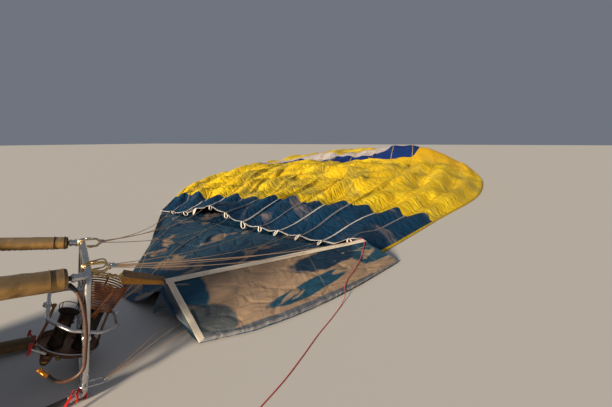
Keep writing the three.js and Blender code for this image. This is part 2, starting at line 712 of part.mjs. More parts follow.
function addBurner() {
  const gimbal = new THREE.Group();
  gimbal.rotation.y = THREE.MathUtils.degToRad(GIMBAL.rest);
  burnerFrame.add(gimbal);

  const ringPins = [-1, 1].map((y) => {
    return bar([0, y * (GIMBAL.halfY - 4), 0], [0, y * PIVOT.reach, 0], PIVOT.pin, 16);
  });
  const upright = (x, from, to, r) => bar([x * from, 0, 0], [x * to, 0, 0], r, 16);
  const bosses = [-1, 1].map((x) => upright(x, GIMBAL.halfX - 15, GIMBAL.bossTo, GIMBAL.boss));
  const bores = [-1, 1].map((x) => upright(x, GIMBAL.halfX - 30, GIMBAL.bossTo + 10, PIVOT.bore));
  const ring = cut(join(eightSidedRing(GIMBAL), ...ringPins, ...bosses), ...bores);
  add(gimbal, "gimbal_ring", ring, steel);

  const bottom = PAN.top - PAN.depth;
  const pan = lathe([
    [0, bottom],
    [PAN.radius - PAN.flare, bottom],
    [PAN.radius, PAN.top],
    [PAN.radius - PAN.wall, PAN.top],
    [PAN.radius - PAN.flare - PAN.wall, bottom + PAN.wall],
    [0, bottom + PAN.wall],
  ], 28);
  const arms = [-1, 1].flatMap((x) => [
    bar([x * (HANGER.x - 2), 0, 0], [x * (GIMBAL.bossTo - 2), 0, 0], PIVOT.pin, 16),
    bar([x * HANGER.x, 0, HANGER.above], [x * HANGER.x, 0, HANGER.below], HANGER.radius, 10),
    bar([x * HANGER.x, 0, HANGER.below + 4], [x * (PAN.radius - 8), 0, PAN.top - 14], HANGER.radius),
  ]);
  add(gimbal, "burner_pan", join(pan, ...arms), castBlack);

  const floor = bottom + PAN.wall + GAP;
  const jets = new THREE.TorusGeometry(JET_CAN.radius - 12, JET_CAN.jet, 8, 20);
  const can = bar([COIL.x, 0, floor], [COIL.x, 0, JET_CAN.top], JET_CAN.radius, 20);
  add(gimbal, "jet_can", join(can, jets.translate(COIL.x, 0, JET_CAN.top + 3)), castBlack);

  const curve = new CoilCurve();
  const foot = curve.getPoint(0);
  const top = curve.getPoint(1);
  const coil = tubeAlong(curve, COIL.tube, 6, COIL.turns * 14);
  const outside = COIL.high + COIL.tube + 1.6 * COIL.riser;
  const riser = tube([
    [top.x, top.y, top.z],
    [COIL.x - 20, outside, top.z - 30],
    [COIL.x + 10, outside - 12, top.z - 120],
    [COIL.x + 30, COIL.low + 30, COIL.start - 10],
    [COIL.x + 40, 70, JET_CAN.top - 40],
    [COIL.x + 36, 30, JET_CAN.top - 60],
  ], COIL.riser, 8, 30);
  const feed = bar(foot.toArray(), [COIL.x, 52, JET_CAN.top - 40], COIL.tube, 8);
  const pipes = [coil, riser, feed].map(solid).reduce((whole, piece) => whole.add(piece));
  const [canFoot, canTop] = [[COIL.x, 0, floor - 5], [COIL.x, 0, JET_CAN.top + GAP]];
  const grown = solid(bar(canFoot, canTop, JET_CAN.radius + GAP, 20));
  add(gimbal, "burner_coil", geometryOf(pipes.subtract(grown)), scorchedSteel);

  const quiet = lathe([
    [0, floor],
    [QUIET_CAN.radius, floor],
    [QUIET_CAN.radius, QUIET_CAN.top - 20],
    [QUIET_CAN.radius + QUIET_CAN.flare, QUIET_CAN.top],
    [QUIET_CAN.radius + QUIET_CAN.flare - 4, QUIET_CAN.top + 2],
    [QUIET_CAN.radius - 6, QUIET_CAN.top - 16],
    [0, QUIET_CAN.top - 16],
  ], 20).translate(QUIET_CAN.x, 0, 0);
  add(gimbal, "quiet_burner", quiet, castBlack);

  const under = bottom - GAP;
  const middle = under - VALVES.block[2] / 2;
  const block = new THREE.BoxGeometry(...VALVES.block).translate(...VALVES.blockAt, middle);
  const stem = bar([...VALVES.stemAt, under - 2.6], [...VALVES.stemAt, VALVES.bottom], VALVES.stem, 12);
  const link = bar([...VALVES.blockAt, middle], [...VALVES.stemAt, middle], VALVES.link, 10);
  add(gimbal, "valve_block", join(block, stem, link), brass);

  const { foot: leverFoot, end, stem: leverStem, grip, gripY, gripZ } = LEVER;
  const lever = join(
    bar([...leverFoot, under + 14], end, leverStem, 8),
    bar([end[0], end[1] - gripY, end[2] + gripZ], [end[0], end[1] + gripY, end[2] - gripZ], grip, 10),
  );
  add(gimbal, "blast_lever", lever, redPlastic);
}

function addRedLine() {
  const onCloth = (across, up) => {
    const [x, y, z] = scoopSide(across, up);
    return [x, y, z + CLOTH + 4 * RED_LINE.radius];
  };
  const { radius: r, startX: lineStart } = RED_LINE;
  const route = [
    [lineStart, mouthY(lineStart) + 16, mouthHeight(lineStart) + CLOTH + r + 1],
    onCloth(0.92, 0.985),
    onCloth(0.72, 0.93),
    onCloth(0.5, 0.86),
    onCloth(0.3, 0.78),
    onCloth(0.12, 0.7),
    [2445, -2090, 2 * CLOTH + r + 6],
    [2440, -2260, r + 4],
    [2400, -2560, r],
    [2350, -2850, r],
    [2312, -3160, r],
    [2270, -3450, r],
    [2215, -3700, r],
    [2170, -3880, r],
  ];
  add(balloon, "red_line_run", tube(route, r, 8, 78), redRope);
  const { coilTurn, coilHalf, coilHeight, knot } = RED_LINE;
  const outer = coilTurn + coilHalf;
  const inner = coilTurn - coilHalf;
  const [end, before] = [route.at(-1), route.at(-2)].map(([x, y]) => new THREE.Vector2(x, y));
  const way = end.clone().sub(before).normalize();
  const centre = [...end.addScaledVector(way, outer + GAP).toArray(), 0];
  const coil = lathe([
    [inner, 0],
    [outer, 0],
    [outer, coilHeight],
    [inner, coilHeight],
    [inner, 0],
  ], 28);
  add(balloon, "red_line_coil", coil.translate(...centre), redRope);
  const ball = new THREE.IcosahedronGeometry(knot, 2);
  add(balloon, "red_line_knot", ball.translate(centre[0] - outer - knot, centre[1], knot), redRope);
}

addEnvelope();
addBasket();
addLoadFrame();
addUprights();
addKarabiners();
addWires();
addScoop();
addHose();
addBurner();
addRedLine();

// The whole stands on the ground, centred over the origin.
const extent = new THREE.Box3().setFromObject(balloon, true);
const middle = extent.getCenter(new THREE.Vector3());
balloon.position.set(-middle.x, -middle.y, -extent.min.z);

export default balloon;
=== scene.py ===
# A hot air balloon after landing: basket and burner on their side, envelope spread over the ground.
# Metres. Layout points have the middle of the envelope's mouth as origin, +Y to the crown and +Z up.
import json
import math

import bpy
import numpy as np
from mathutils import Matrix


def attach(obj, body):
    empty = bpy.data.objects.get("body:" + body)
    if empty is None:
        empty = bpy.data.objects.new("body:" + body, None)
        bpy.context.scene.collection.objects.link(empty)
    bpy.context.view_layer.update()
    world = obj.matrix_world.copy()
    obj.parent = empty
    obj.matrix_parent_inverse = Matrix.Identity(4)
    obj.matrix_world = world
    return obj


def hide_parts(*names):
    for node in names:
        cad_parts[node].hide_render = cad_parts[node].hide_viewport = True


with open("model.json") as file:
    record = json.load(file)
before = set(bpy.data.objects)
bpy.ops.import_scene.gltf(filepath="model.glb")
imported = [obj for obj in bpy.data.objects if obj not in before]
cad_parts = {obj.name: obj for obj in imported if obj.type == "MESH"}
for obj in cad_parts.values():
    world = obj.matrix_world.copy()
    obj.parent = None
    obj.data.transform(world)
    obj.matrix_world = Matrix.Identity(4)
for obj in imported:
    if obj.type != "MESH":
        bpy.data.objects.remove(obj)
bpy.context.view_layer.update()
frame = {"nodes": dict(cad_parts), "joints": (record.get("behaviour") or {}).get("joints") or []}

# Where the layout's parts stand
FRAME_AT = (0.746, -3.728)
FRAME_HEADING = math.radians(35.3)
FRAME_LEAN = math.radians(7.8)
RING_REST = math.radians(72)
BASKET_BEHIND = 0.85
FRAME_X, FRAME_Y = 0.43, 0.45
FRAME_LIFT = 0.022
BASKET_X, BASKET_Y, BASKET_HEIGHT = 0.5, 0.6, 1.05
BASKET_CORNER = 0.13
WALL = 0.035
EDGE = 0.02
CLOTH = 0.010
GAP = 0.0003
EYE = (3.04, -5.32, 1.70)
EYE_HEADING = math.radians(18)
EYE_PITCH = math.radians(11.2)
PHOTO_WIDTH = 612
FOCAL_PIXELS = 320
FLOOR_REACH = 120
SKY_STRENGTH = 0.22
LAMP_STRENGTH = 6.8
LAMP_TILT = math.radians(75)
LAMP_TURN = math.radians(-17)


def unit(v):
    v = np.asarray(v, float)
    return v / np.linalg.norm(v, axis=-1, keepdims=True)


def smoothstep(t):
    t = np.clip(t, 0, 1)
    return t * t * (3 - 2 * t)


# The gimbal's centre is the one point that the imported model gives; the layout's origin follows from it
gimbal_centre = np.array(frame["joints"][0]["pos_m"], float)
ORIGIN = gimbal_centre - (*FRAME_AT, FRAME_X * math.cos(FRAME_LEAN) + FRAME_LIFT)


class Axes:
    """A place with three directions; its own points go to the ground frame."""

    def __init__(self, origin, directions):
        self.origin = np.asarray(origin, float)
        self.directions = np.asarray(directions, float)
        self.x, self.y, self.z = self.directions

    def place(self, points):
        return self.origin + np.asarray(points, float) @ self.directions

    def way(self, vectors):
        return np.asarray(vectors, float) @ self.directions

    def moved(self, point):
        """The same directions at another of its own points."""
        return Axes(self.place(point), self.directions)

    def turned(self, angle):
        """The same place after a turn about its own Y."""
        x, y, z = self.directions
        c, s = math.cos(angle), math.sin(angle)
        return Axes(self.origin, [c * x - s * z, y, s * x + c * z])


up = np.array([0.0, 0.0, 1.0])
ahead = np.array([math.sin(FRAME_HEADING), math.cos(FRAME_HEADING), 0])
near = np.array([math.cos(FRAME_HEADING), -math.sin(FRAME_HEADING), 0])
burner_frame = Axes(gimbal_centre, [up, near, ahead]).turned(-FRAME_LEAN)
gimbal = burner_frame.turned(RING_REST)
basket = Axes(ORIGIN + (*FRAME_AT, BASKET_X + EDGE) - BASKET_BEHIND * ahead, [up, near, ahead])


# Meshes: a shape is points, four-cornered faces and the corners' own UV
def grid(points, wrap=False, uv=None):
    """Faces over an array of points, rows by columns; wrap joins the last column to the first."""
    points = np.asarray(points, float)
    rows, cols = points.shape[:2]
    across = cols if wrap else cols - 1
    if uv is None:
        u, v = np.meshgrid(np.arange(across + 1) / across, np.arange(rows) / (rows - 1))
        uv = np.stack([u, v], -1)
    i, j = np.meshgrid(np.arange(rows - 1), np.arange(across), indexing="ij")
    k = (j + 1) % cols
    corners = [(i, j, j), (i, k, j + 1), (i + 1, k, j + 1), (i + 1, j, j)]
    faces = np.stack([a * cols + b for a, b, _ in corners], -1)
    corner_uv = np.stack([uv[a, c] for a, _, c in corners], -2)
    return points.reshape(-1, 3), faces.reshape(-1, 4), corner_uv.reshape(-1, 4, 2)


def joined(shapes):
    """Several shapes as one."""
    starts = np.cumsum([0] + [len(s[0]) for s in shapes])
    points = np.concatenate([s[0] for s in shapes])
    faces = np.concatenate([s[1] + start for s, start in zip(shapes, starts)])
    return points, faces, np.concatenate([s[2] for s in shapes])


def thick(points, depth, uv):
    """Closed sheet: the surface, a copy of it depth lower along its normals, and a wall round the edge."""
    across = np.gradient(points, axis=1)
    along = np.gradient(points, axis=0)
    normal = unit(np.cross(across, along) + 1e-12)
    under = points - depth * normal

    def rim(a):
        return np.concatenate([a[0, :-1], a[:-1, -1], a[-1, :0:-1], a[:0:-1, 0]])

    wall = np.stack([rim(under), rim(points)])
    wall_uv = np.stack([rim(uv), rim(uv)])
    wall_uv = np.concatenate([wall_uv, wall_uv[:, :1]], axis=1)
    return joined([
        grid(points, uv=uv),
        grid(under[:, ::-1], uv=uv[:, ::-1]),
        grid(wall, wrap=True, uv=wall_uv),
    ])


def piece(name, shapes, finish, body="root", slot=None, replaces=(), sharp=40):
    """One object of several shapes. Corners at one point are merged, and faces that collapse lose a corner.
    The slot is worked out from the finish where none is given, but isn't stored on the object."""
    points, faces, uv = joined(shapes)
    _, first, index = np.unique(np.round(points, 6), axis=0, return_index=True, return_inverse=True)
    points = points[first]
    faces = index.reshape(-1)[faces]
    kept = faces != np.roll(faces, 1, axis=1)
    whole = kept.sum(1) >= 3
    faces, kept, uv = faces[whole], kept[whole], uv[whole]
    counts = kept.sum(1)
    mesh = bpy.data.meshes.new(name)
    mesh.vertices.add(len(points))
    mesh.vertices.foreach_set("co", points.astype(np.float32).ravel())
    mesh.loops.add(int(counts.sum()))
    mesh.loops.foreach_set("vertex_index", faces[kept].astype(np.int32))
    mesh.polygons.add(len(counts))
    mesh.polygons.foreach_set("loop_start", (np.cumsum(counts) - counts).astype(np.int32))
    mesh.polygons.foreach_set("use_smooth", np.ones(len(counts), bool))
    mesh.uv_layers.new(name="UVMap").data.foreach_set("uv", uv[kept].astype(np.float32).ravel())
    mesh.update(calc_edges=True)
    mesh.validate()
    mesh.set_sharp_from_angle(angle=math.radians(sharp))
    made = bpy.data.objects.new(name, mesh)
    bpy.context.scene.collection.objects.link(made)
    made.data.materials.append(material[finish])
    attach(made, body)
    slot = slot or SLOT_OF.get(finish)
    if replaces:
        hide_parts(*replaces)
    return made


# Curves and what follows them
def curve(points, count):
    """Smooth line through points: cubic pieces whose parameter steps by the square root of the distance,
    resampled at count places equally far apart along it."""
    p = np.asarray(points, float)
    p = np.concatenate([[2 * p[0] - p[1]], p, [2 * p[-1] - p[-2]]])
    p0, p1, p2, p3 = p[:-3, None], p[1:-2, None], p[2:-1, None], p[3:, None]
    pairs = (p0, p1), (p1, p2), (p2, p3)
    d0, d1, d2 = [np.sqrt(np.linalg.norm(b - a, axis=-1, keepdims=True)) for a, b in pairs]
    m1 = d1 * ((p1 - p0) / d0 - (p2 - p0) / (d0 + d1) + (p2 - p1) / d1)
    m2 = d1 * ((p2 - p1) / d1 - (p3 - p1) / (d1 + d2) + (p3 - p2) / d2)
    t = np.linspace(0, 1, 40, endpoint=False)[None, :, None]
    fine = p1 + m1 * t + (3 * (p2 - p1) - 2 * m1 - m2) * t**2 + (m1 + m2 - 2 * (p2 - p1)) * t**3
    fine = np.concatenate([fine.reshape(-1, 3), p2[-1]])
    return evenly(fine, count)


def distance_along(line):
    """Distance from a line's first point to each of its points."""
    return np.concatenate([[0], np.cumsum(np.linalg.norm(np.diff(line, axis=0), axis=1))])


def evenly(line, count):
    """The same line at count places equally far apart."""
    run = distance_along(line)
    wanted = np.linspace(0, run[-1], count)
    return np.stack([np.interp(wanted, run, line[:, k]) for k in range(3)], -1)


def length_of(line):
    return float(np.linalg.norm(np.diff(line, axis=0), axis=1).sum())


def frames(path, towards, closed=False):
    """Tangent, side and over directions at each point of a path; side is square to the towards direction."""
    if closed:
        tangent = unit(np.roll(path, -1, 0) - np.roll(path, 1, 0))
    else:
        tangent = unit(np.gradient(path, axis=0))
    side = unit(np.cross(towards, tangent) + 1e-9)
    return tangent, side, np.cross(tangent, side)


def swept(path, section, towards=(0, 0, 1), closed=False):
    """A closed section of [side, over] offsets carried along a path; it may differ at each point."""
    path = np.asarray(path, float)
    section = np.broadcast_to(section, (len(path), *np.shape(section)[-2:]))
    _, side, over = frames(path, np.asarray(towards, float), closed)
    ring = path[:, None] + section[..., :1] * side[:, None] + section[..., 1:] * over[:, None]
    if closed:
        ring = np.concatenate([ring, ring[:1]])
        path = np.concatenate([path, path[:1]])
    else:
        middle = np.broadcast_to(path[:, None], ring.shape)
        ring = np.concatenate([middle[:1], ring, middle[-1:]])
        path = np.concatenate([path[:1], path, path[-1:]])
    run = distance_along(path)
    around = np.linspace(0, 1, ring.shape[1] + 1)
    uv = np.stack(np.meshgrid(around, run), -1)
    return grid(ring, wrap=True, uv=uv)


def polar(radius, angle, height=0.0):
    """Points at a radius and an angle about Z."""
    return np.stack([radius * np.cos(angle), radius * np.sin(angle), height + 0 * angle], -1)


def circle(radius, sides):
    turn = 2 * np.pi * np.arange(sides) / sides
    shape = (-1, 1, 1) if np.ndim(radius) else ()
    return np.stack([np.cos(turn), np.sin(turn)], -1) * np.reshape(radius, shape)


def pipe(path, radius, sides=12, towards=(0, 0, 1), closed=False):
    """Round tube along a path; the radius may differ at each point."""
    return swept(path, circle(radius, sides), towards, closed)


def crosswise(way):
    """A direction that isn't along the way."""
    return (0.3, 0.2, 1) if abs(unit(way)[2]) < 0.9 else (1, 0.2, 0)


def rod(a, b, radius, sides=16, steps=2):
    a, b = np.asarray(a, float), np.asarray(b, float)
    return pipe(a + (b - a) * np.linspace(0, 1, steps)[:, None], radius, sides, crosswise(b - a))


def lathe(profile, axes, sides):
    """A profile of [radius, height] turned about the axes' own Z."""
    profile = np.asarray(profile, float)
    turn = 2 * np.pi * np.arange(sides) / sides
    rows = polar(profile[:, 0, None], turn, profile[:, 1, None])
    uv = np.stack(np.meshgrid(np.arange(sides + 1) / sides, np.arange(len(profile)) / len(profile)), -1)
    return grid(axes.place(rows), wrap=True, uv=uv)


def band_section(wide, deep):
    """Sharp rectangle, as the section of a strap."""
    return 0.5 * np.array([[-wide, -deep], [wide, -deep], [wide, deep], [-wide, deep]])


def soft_section(half_x, half_y, power_x, power_y, sides, shift=0.5):
    """Rectangle with rounded corners: powers of the cosine and the sine, which keep their sign."""
    turn = 2 * np.pi * (np.arange(sides) + shift) / sides
    x = half_x * np.sign(np.cos(turn)) * np.abs(np.cos(turn)) ** power_x
    y = half_y * np.sign(np.sin(turn)) * np.abs(np.sin(turn)) ** power_y
    return np.stack([x, y], -1)


def ribbon(path, width, depth, towards, rounding=0.3):
    """Flat band with rounded edges along a path, its flat side to the towards way."""
    return swept(path, soft_section(0.5 * width, 0.5 * depth, rounding, rounding, 12), towards)


def ring_line(centre, axis, radius, steps=36):
    """Points of a circle about an axis, with no point twice."""
    first = unit(np.cross(unit(axis), (0.31, 0.2, 0.93)))
    second = np.cross(unit(axis), first)
    turn = np.linspace(0, 2 * np.pi, steps, endpoint=False)[:, None]
    return centre + radius * (np.cos(turn) * first + np.sin(turn) * second)


def ring_shape(centre, axis, radius, rod_radius, sides=10, steps=36):
    """Closed round ring about an axis."""
    return pipe(ring_line(centre, axis, radius, steps), rod_radius, sides, unit(axis), closed=True)


# Camera, floor and light
def add_camera():
    camera = bpy.data.objects.new("camera", bpy.data.cameras.new("camera"))
    camera.data.sensor_width = 36
    camera.data.lens = 36 * FOCAL_PIXELS / PHOTO_WIDTH
    camera.data.clip_end = 300
    camera.location = ORIGIN + EYE
    camera.rotation_euler = (math.pi / 2 - EYE_PITCH, 0, EYE_HEADING)
    bpy.context.scene.collection.objects.link(camera)
    bpy.context.scene.camera = camera


def add_stage():
    """Plain pale floor and a pale sky, with one broad warm lamp behind and left of the camera."""
    floor = grid([[(-FLOOR_REACH, -FLOOR_REACH, 0), (FLOOR_REACH, -FLOOR_REACH, 0)],
                  [(-FLOOR_REACH, FLOOR_REACH, 0), (FLOOR_REACH, FLOOR_REACH, 0)]])
    piece("floor", [floor], "floor")
    world = bpy.data.worlds.new("studio")
    world.use_nodes = True
    sky = world.node_tree.nodes["Background"]
    sky.inputs["Color"].default_value = (0.72, 0.8, 0.95, 1)
    sky.inputs["Strength"].default_value = SKY_STRENGTH
    bpy.context.scene.world = world
    bpy.context.scene.view_settings.view_transform = "Standard"
    key = bpy.data.objects.new("key_lamp", bpy.data.lights.new("key_lamp", "SUN"))
    key.data.energy = LAMP_STRENGTH
    key.data.angle = math.radians(9)
    key.data.color = (1.0, 0.83, 0.62)
    key.rotation_euler = (LAMP_TILT, 0, LAMP_TURN)
    bpy.context.scene.collection.objects.link(key)


# Finishes
class Finish:
    """A node material. Numbers that are the same all over are set on the shader's own sockets."""

    def __init__(self, name, color, roughness, metallic=0.0, coords="Object", **sockets):
        self.material = bpy.data.materials.new(name)
        self.material.use_nodes = True
        self.nodes = self.material.node_tree.nodes
        self.links = self.material.node_tree.links
        self.shader = self.nodes["Principled BSDF"]
        self.coords = self.node("TexCoord").outputs[coords]
        self.set(self.shader.inputs["Base Color"], color)
        self.set(self.shader.inputs["Roughness"], roughness)
        self.set(self.shader.inputs["Metallic"], metallic)
        for socket, value in sockets.items():
            self.set(self.shader.inputs[socket.replace("_", " ")], value)

    def node(self, kind, **settings):
        made = self.nodes.new("ShaderNode" + kind)
        for name, value in settings.items():
            setattr(made, name, value)
        return made

    def set(self, socket, value):
        """Links a socket, or sets its number or colour."""
        if isinstance(value, bpy.types.NodeSocket):
            self.links.new(value, socket)
        elif isinstance(value, tuple) and len(value) == 3 and socket.type == "RGBA":
            socket.default_value = (*value, 1)
        else:
            socket.default_value = value

    def stretched(self, scale, shift=(0, 0, 0), turn=0.0):
        mapping = self.node("Mapping")
        mapping.inputs["Scale"].default_value = scale
        mapping.inputs["Location"].default_value = shift
        mapping.inputs["Rotation"].default_value = (0, 0, turn)
        self.set(mapping.inputs["Vector"], self.coords)
        return mapping.outputs[0]

    def noise(self, scale, detail=4.0, coords=None, distortion=0.0):
        made = self.node("TexNoise")
        settings = {"Scale": scale, "Detail": detail, "Distortion": distortion, "Roughness": 0.55}
        for name, value in settings.items():
            made.inputs[name].default_value = value
        self.set(made.inputs["Vector"], coords or self.coords)
        return made.outputs["Fac"]

    def cells(self, scale, coords=None):
        made = self.node("TexVoronoi", feature="DISTANCE_TO_EDGE")
        made.inputs["Scale"].default_value = scale
        self.set(made.inputs["Vector"], coords or self.coords)
        return made.outputs["Distance"]

    def wave(self, scale, direction, distortion=0.0, coords=None):
        made = self.node("TexWave", bands_direction=direction, wave_profile="SIN")
        made.inputs["Scale"].default_value = scale
        made.inputs["Distortion"].default_value = distortion
        self.set(made.inputs["Vector"], coords or self.coords)
        return made.outputs["Fac"]

    def math(self, operation, a, b=0.0):
        made = self.node("Math", operation=operation)
        self.set(made.inputs[0], a)
        self.set(made.inputs[1], b)
        return made.outputs[0]

    def ramp(self, value, low, high, to_low=0.0, to_high=1.0):
        """A number taken from one range to another, and held at the ends."""
        made = self.node("MapRange")
        for place, number in enumerate((value, low, high, to_low, to_high)):
            self.set(made.inputs[place], number)
        return made.outputs[0]

    def part_of(self, axis, coords=None):
        made = self.node("SeparateXYZ")
        self.set(made.inputs[0], coords or self.coords)
        return made.outputs[axis]

    def line(self, value, every, width):
        """1 on a line that repeats, 0 elsewhere."""
        phase = self.math("PINGPONG", value, every / 2)
        return self.ramp(phase, width / 2, 0.0)

    def mix(self, share, a, b):
        made = self.node("Mix", data_type="RGBA")
        self.set(made.inputs[0], share)
        self.set(made.inputs[6], a)
        self.set(made.inputs[7], b)
        return made.outputs[2]

    def paint(self, share, color):
        """Another colour over what the surface has, by a share."""
        base = self.shader.inputs["Base Color"]
        under = base.links[0].from_socket if base.links else tuple(base.default_value)[:3]
        self.set(base, self.mix(share, under, color))

    def patch(self, value, low, high, share, color):
        """Another colour where a value has passed from low to high, up to a share."""
        self.paint(self.ramp(value, low, high, 0.0, share), color)

    def rough(self, value, low, high, to_low, to_high):
        self.set(self.shader.inputs["Roughness"], self.ramp(value, low, high, to_low, to_high))

    def bump(self, height, distance, strength=1.0):
        made = self.node("Bump")
        made.inputs["Distance"].default_value = distance
        made.inputs["Strength"].default_value = strength
        self.set(made.inputs["Height"], height)
        normal = self.shader.inputs["Normal"]
        if normal.links:
            self.set(made.inputs["Normal"], normal.links[0].from_socket)
        self.set(normal, made.outputs[0])


def cloth_finish(
    name, color, dust, dark, gloss=0.5, lit=None, lit_from=0.52, shade=None, far=None, relief=1.0,
):
    """Coated ripstop: creases in two sizes, sewn seams across, dust, and a fine square weave. Long streaks of
    painted highlight and of painted shade lie along the gores at a slant, up to where the cloth takes its far
    tone."""
    f = Finish(name, color, gloss, coords="UV", Specular_IOR_Level=0.07)
    slow = f.noise(0.55, 5)
    f.patch(slow, 0.46, 0.72, 0.45, dark)
    # Painted shade: slanting streaks of the shaded tone
    if shade:
        painted_light_mask = f.noise(0.9, 4, f.stretched((1.0, 0.3, 1), turn=0.4), distortion=0.5)
        f.patch(painted_light_mask, 0.47, 0.58, 0.75, shade)
    # Painted highlight: slanting streaks of the lit tone, a painted sheen on the navy
    if lit:
        painted_light_mask = f.noise(1.25, 3, f.stretched((1.0, 0.36, 1), (4, 2, 0), turn=0.35), distortion=0.5)
        f.patch(painted_light_mask, lit_from, lit_from + 0.08, 0.8, lit)
    if far:
        f.patch(f.part_of(1), *FAR_TONE, 0.9, far)
    f.patch(f.noise(1.7, 7, distortion=0.6), 0.56, 0.8, 0.4, dust)
    seam = f.line(f.part_of(1), CLOTH_WIDTH, 0.035)
    f.paint(f.math("MULTIPLY", seam, 0.45), dark)
    f.rough(slow, 0.3, 0.7, gloss - 0.08, gloss + 0.14)
    folds = f.noise(3.1, 6, f.stretched((1.0, 0.45, 1)), distortion=1.2)
    f.bump(folds, 0.08 * relief, 0.5)
    creases = f.ramp(f.cells(4.3, f.stretched((1, 0.6, 1), turn=0.5)), 0.0, 0.16)
    f.bump(creases, 0.03 * relief, 0.35)
    f.bump(seam, 0.004, 0.8)
    weave = f.math("MAXIMUM", f.line(f.part_of(0), 0.012, 0.003), f.line(f.part_of(1), 0.012, 0.003))
    f.bump(weave, 0.0006, 0.4)
    return f.material


def scoop_finish(name, color, lit, dark, shapes):
    """Scoop cloth: blue where it lies in shade, and tan-grey patches of painted sunlight on its ridges.
    Shapes are soft spots of painted shade, each [across, along, half width, half length, slant]."""
    f = Finish(name, color, 0.55, coords="UV", Specular_IOR_Level=0.1)
    f.patch(f.noise(1.1, 5, distortion=0.4), 0.45, 0.7, 0.6, dark)
    x, y = f.part_of(0), f.part_of(1)
    wobble = f.math("MULTIPLY", f.math("SUBTRACT", f.noise(2.6, 5), 0.5), 1.7)
    # Painted shade: a soft spot of each shape's tone
    for (x0, y0, wide, long, slant), tone in shapes:
        away = f.math("ADD", f.math("SUBTRACT", x, x0), f.math("MULTIPLY", f.math("SUBTRACT", y, y0), slant))
        run = f.math("DIVIDE", f.math("SUBTRACT", y, y0), long)
        across = f.math("POWER", f.math("ABSOLUTE", f.math("DIVIDE", away, wide)), 2.0)
        spot = f.math("ADD", across, f.math("MULTIPLY", run, run))
        f.paint(f.ramp(f.math("ADD", spot, wobble), 1.15, 0.85), tone)
    # Painted sunlight: patches of the lit tone on the ridges
    sunlit_patches = f.noise(2.4, 3, f.stretched((1.0, 0.6, 1), turn=0.6), distortion=0.8)
    f.patch(sunlit_patches, 0.575, 0.61, 0.75, lit)
    f.bump(f.noise(3.4, 6, f.stretched((1.0, 0.5, 1)), distortion=1.4), 0.05, 0.6)
    f.bump(f.ramp(f.cells(4.6, f.stretched((1, 0.55, 1), turn=0.5)), 0.0, 0.14), 0.02, 0.4)
    seam = f.line(y, 0.86, 0.03)
    f.paint(f.math("MULTIPLY", seam, 0.45), dark)
    f.bump(seam, 0.002, 0.35)
    weave = f.math("MAXIMUM", f.line(x, 0.012, 0.003), f.line(y, 0.012, 0.003))
    f.bump(weave, 0.0006, 0.4)
    return f.material


def metal_finish(name, color, roughness, marks=(0.2, 0.18, 0.16), worn=0.35):
    """Metal with fine scratches, dull patches and grime in places."""
    f = Finish(name, color, roughness, 1.0)
    f.patch(f.noise(9, 6, distortion=0.4), 0.55, 0.75, worn, marks)
    f.rough(f.noise(34, 5), 0.3, 0.75, roughness - 0.1, roughness + 0.2)
    f.bump(f.noise(260, 3, f.stretched((1, 1, 0.15))), 0.0002, 0.5)
    return f.material


def scorched_finish():
    """Stainless tube turned brown, straw and violet by the flame."""
    f = Finish("scorched_tube", (0.52, 0.21, 0.085), 0.5, 0.6)
    f.paint(f.ramp(f.noise(7, 4, distortion=0.8), 0.42, 0.62), (0.26, 0.095, 0.05))
    f.patch(f.noise(15, 5), 0.55, 0.72, 0.8, (0.64, 0.31, 0.13))
    f.patch(f.noise(5, 3, f.stretched((1, 1, 1), (3, 1, 2))), 0.58, 0.7, 0.6, (0.10, 0.07, 0.09))
    f.rough(f.noise(60, 4), 0.3, 0.7, 0.42, 0.62)
    f.bump(f.noise(180, 4), 0.0008, 0.4)
    return f.material


def painted_finish(name, color, roughness, chip, metallic=0.0):
    f = Finish(name, color, roughness, metallic)
    f.patch(f.noise(24, 6, distortion=0.5), 0.6, 0.7, 0.7, chip)
    f.rough(f.noise(40, 4), 0.3, 0.7, roughness - 0.1, roughness + 0.15)
    f.bump(f.noise(120, 4), 0.001, 0.5)
    return f.material


def suede_finish():
    """Napped hide with a painted reflection: faces that look up are darker and the lower side stays golden.
    Lighter where it is brushed, darker with handling, with a fine grain.
    """
    nap = {"Sheen_Weight": 0.1, "Specular_IOR_Level": 0.32}
    f = Finish("suede_hide", (0.37, 0.205, 0.058), 0.62, coords="UV", **nap)
    # Painted reflection: faces that look up are darkened, with a ragged edge
    facing_up = f.part_of(2, f.node("NewGeometry").outputs["Normal"])
    painted_dark_top = f.math("ADD", facing_up, f.math("MULTIPLY", f.math("SUBTRACT", f.noise(6, 4), 0.5), 0.5))
    f.patch(painted_dark_top, 0.05, 0.5, 0.85, (0.135, 0.10, 0.06))
    f.patch(f.noise(7, 6, f.stretched((1.0, 1.6, 1)), distortion=0.8), 0.45, 0.68, 0.7, (0.14, 0.085, 0.034))
    f.patch(f.noise(16, 5), 0.58, 0.74, 0.5, (0.38, 0.26, 0.12))
    f.bump(f.noise(9, 4, f.stretched((1.2, 1, 1))), 0.01, 0.4)
    f.bump(f.noise(420, 3), 0.0012, 0.5)
    return f.material


def woven_finish(name, color, dark, thread):
    """Webbing or tape: a herringbone of threads over UV metres, with dirty stretches."""
    f = Finish(name, color, 0.75, coords="UV", Specular_IOR_Level=0.15)
    f.patch(f.noise(8, 5, distortion=0.5), 0.48, 0.7, 0.6, dark)
    threads = f.wave(1 / thread, "DIAGONAL", 0.4)
    f.paint(f.math("MULTIPLY", threads, 0.25), dark)
    f.bump(threads, 0.0008, 0.6)
    f.bump(f.noise(14, 4), 0.004, 0.4)
    return f.material


def rope_finish(name, color, dark, pitch):
    """Laid rope: slanting strands over UV, which runs round the rope and along it in metres."""
    f = Finish(name, color, 0.72, coords="UV", Sheen_Weight=0.2)
    strands = f.wave(1.0, "DIAGONAL", 0.2, f.stretched((6.0, 1 / pitch, 1)))
    f.patch(strands, 0.5, 0.0, 0.6, dark)
    f.bump(strands, 0.0015, 0.8)
    return f.material


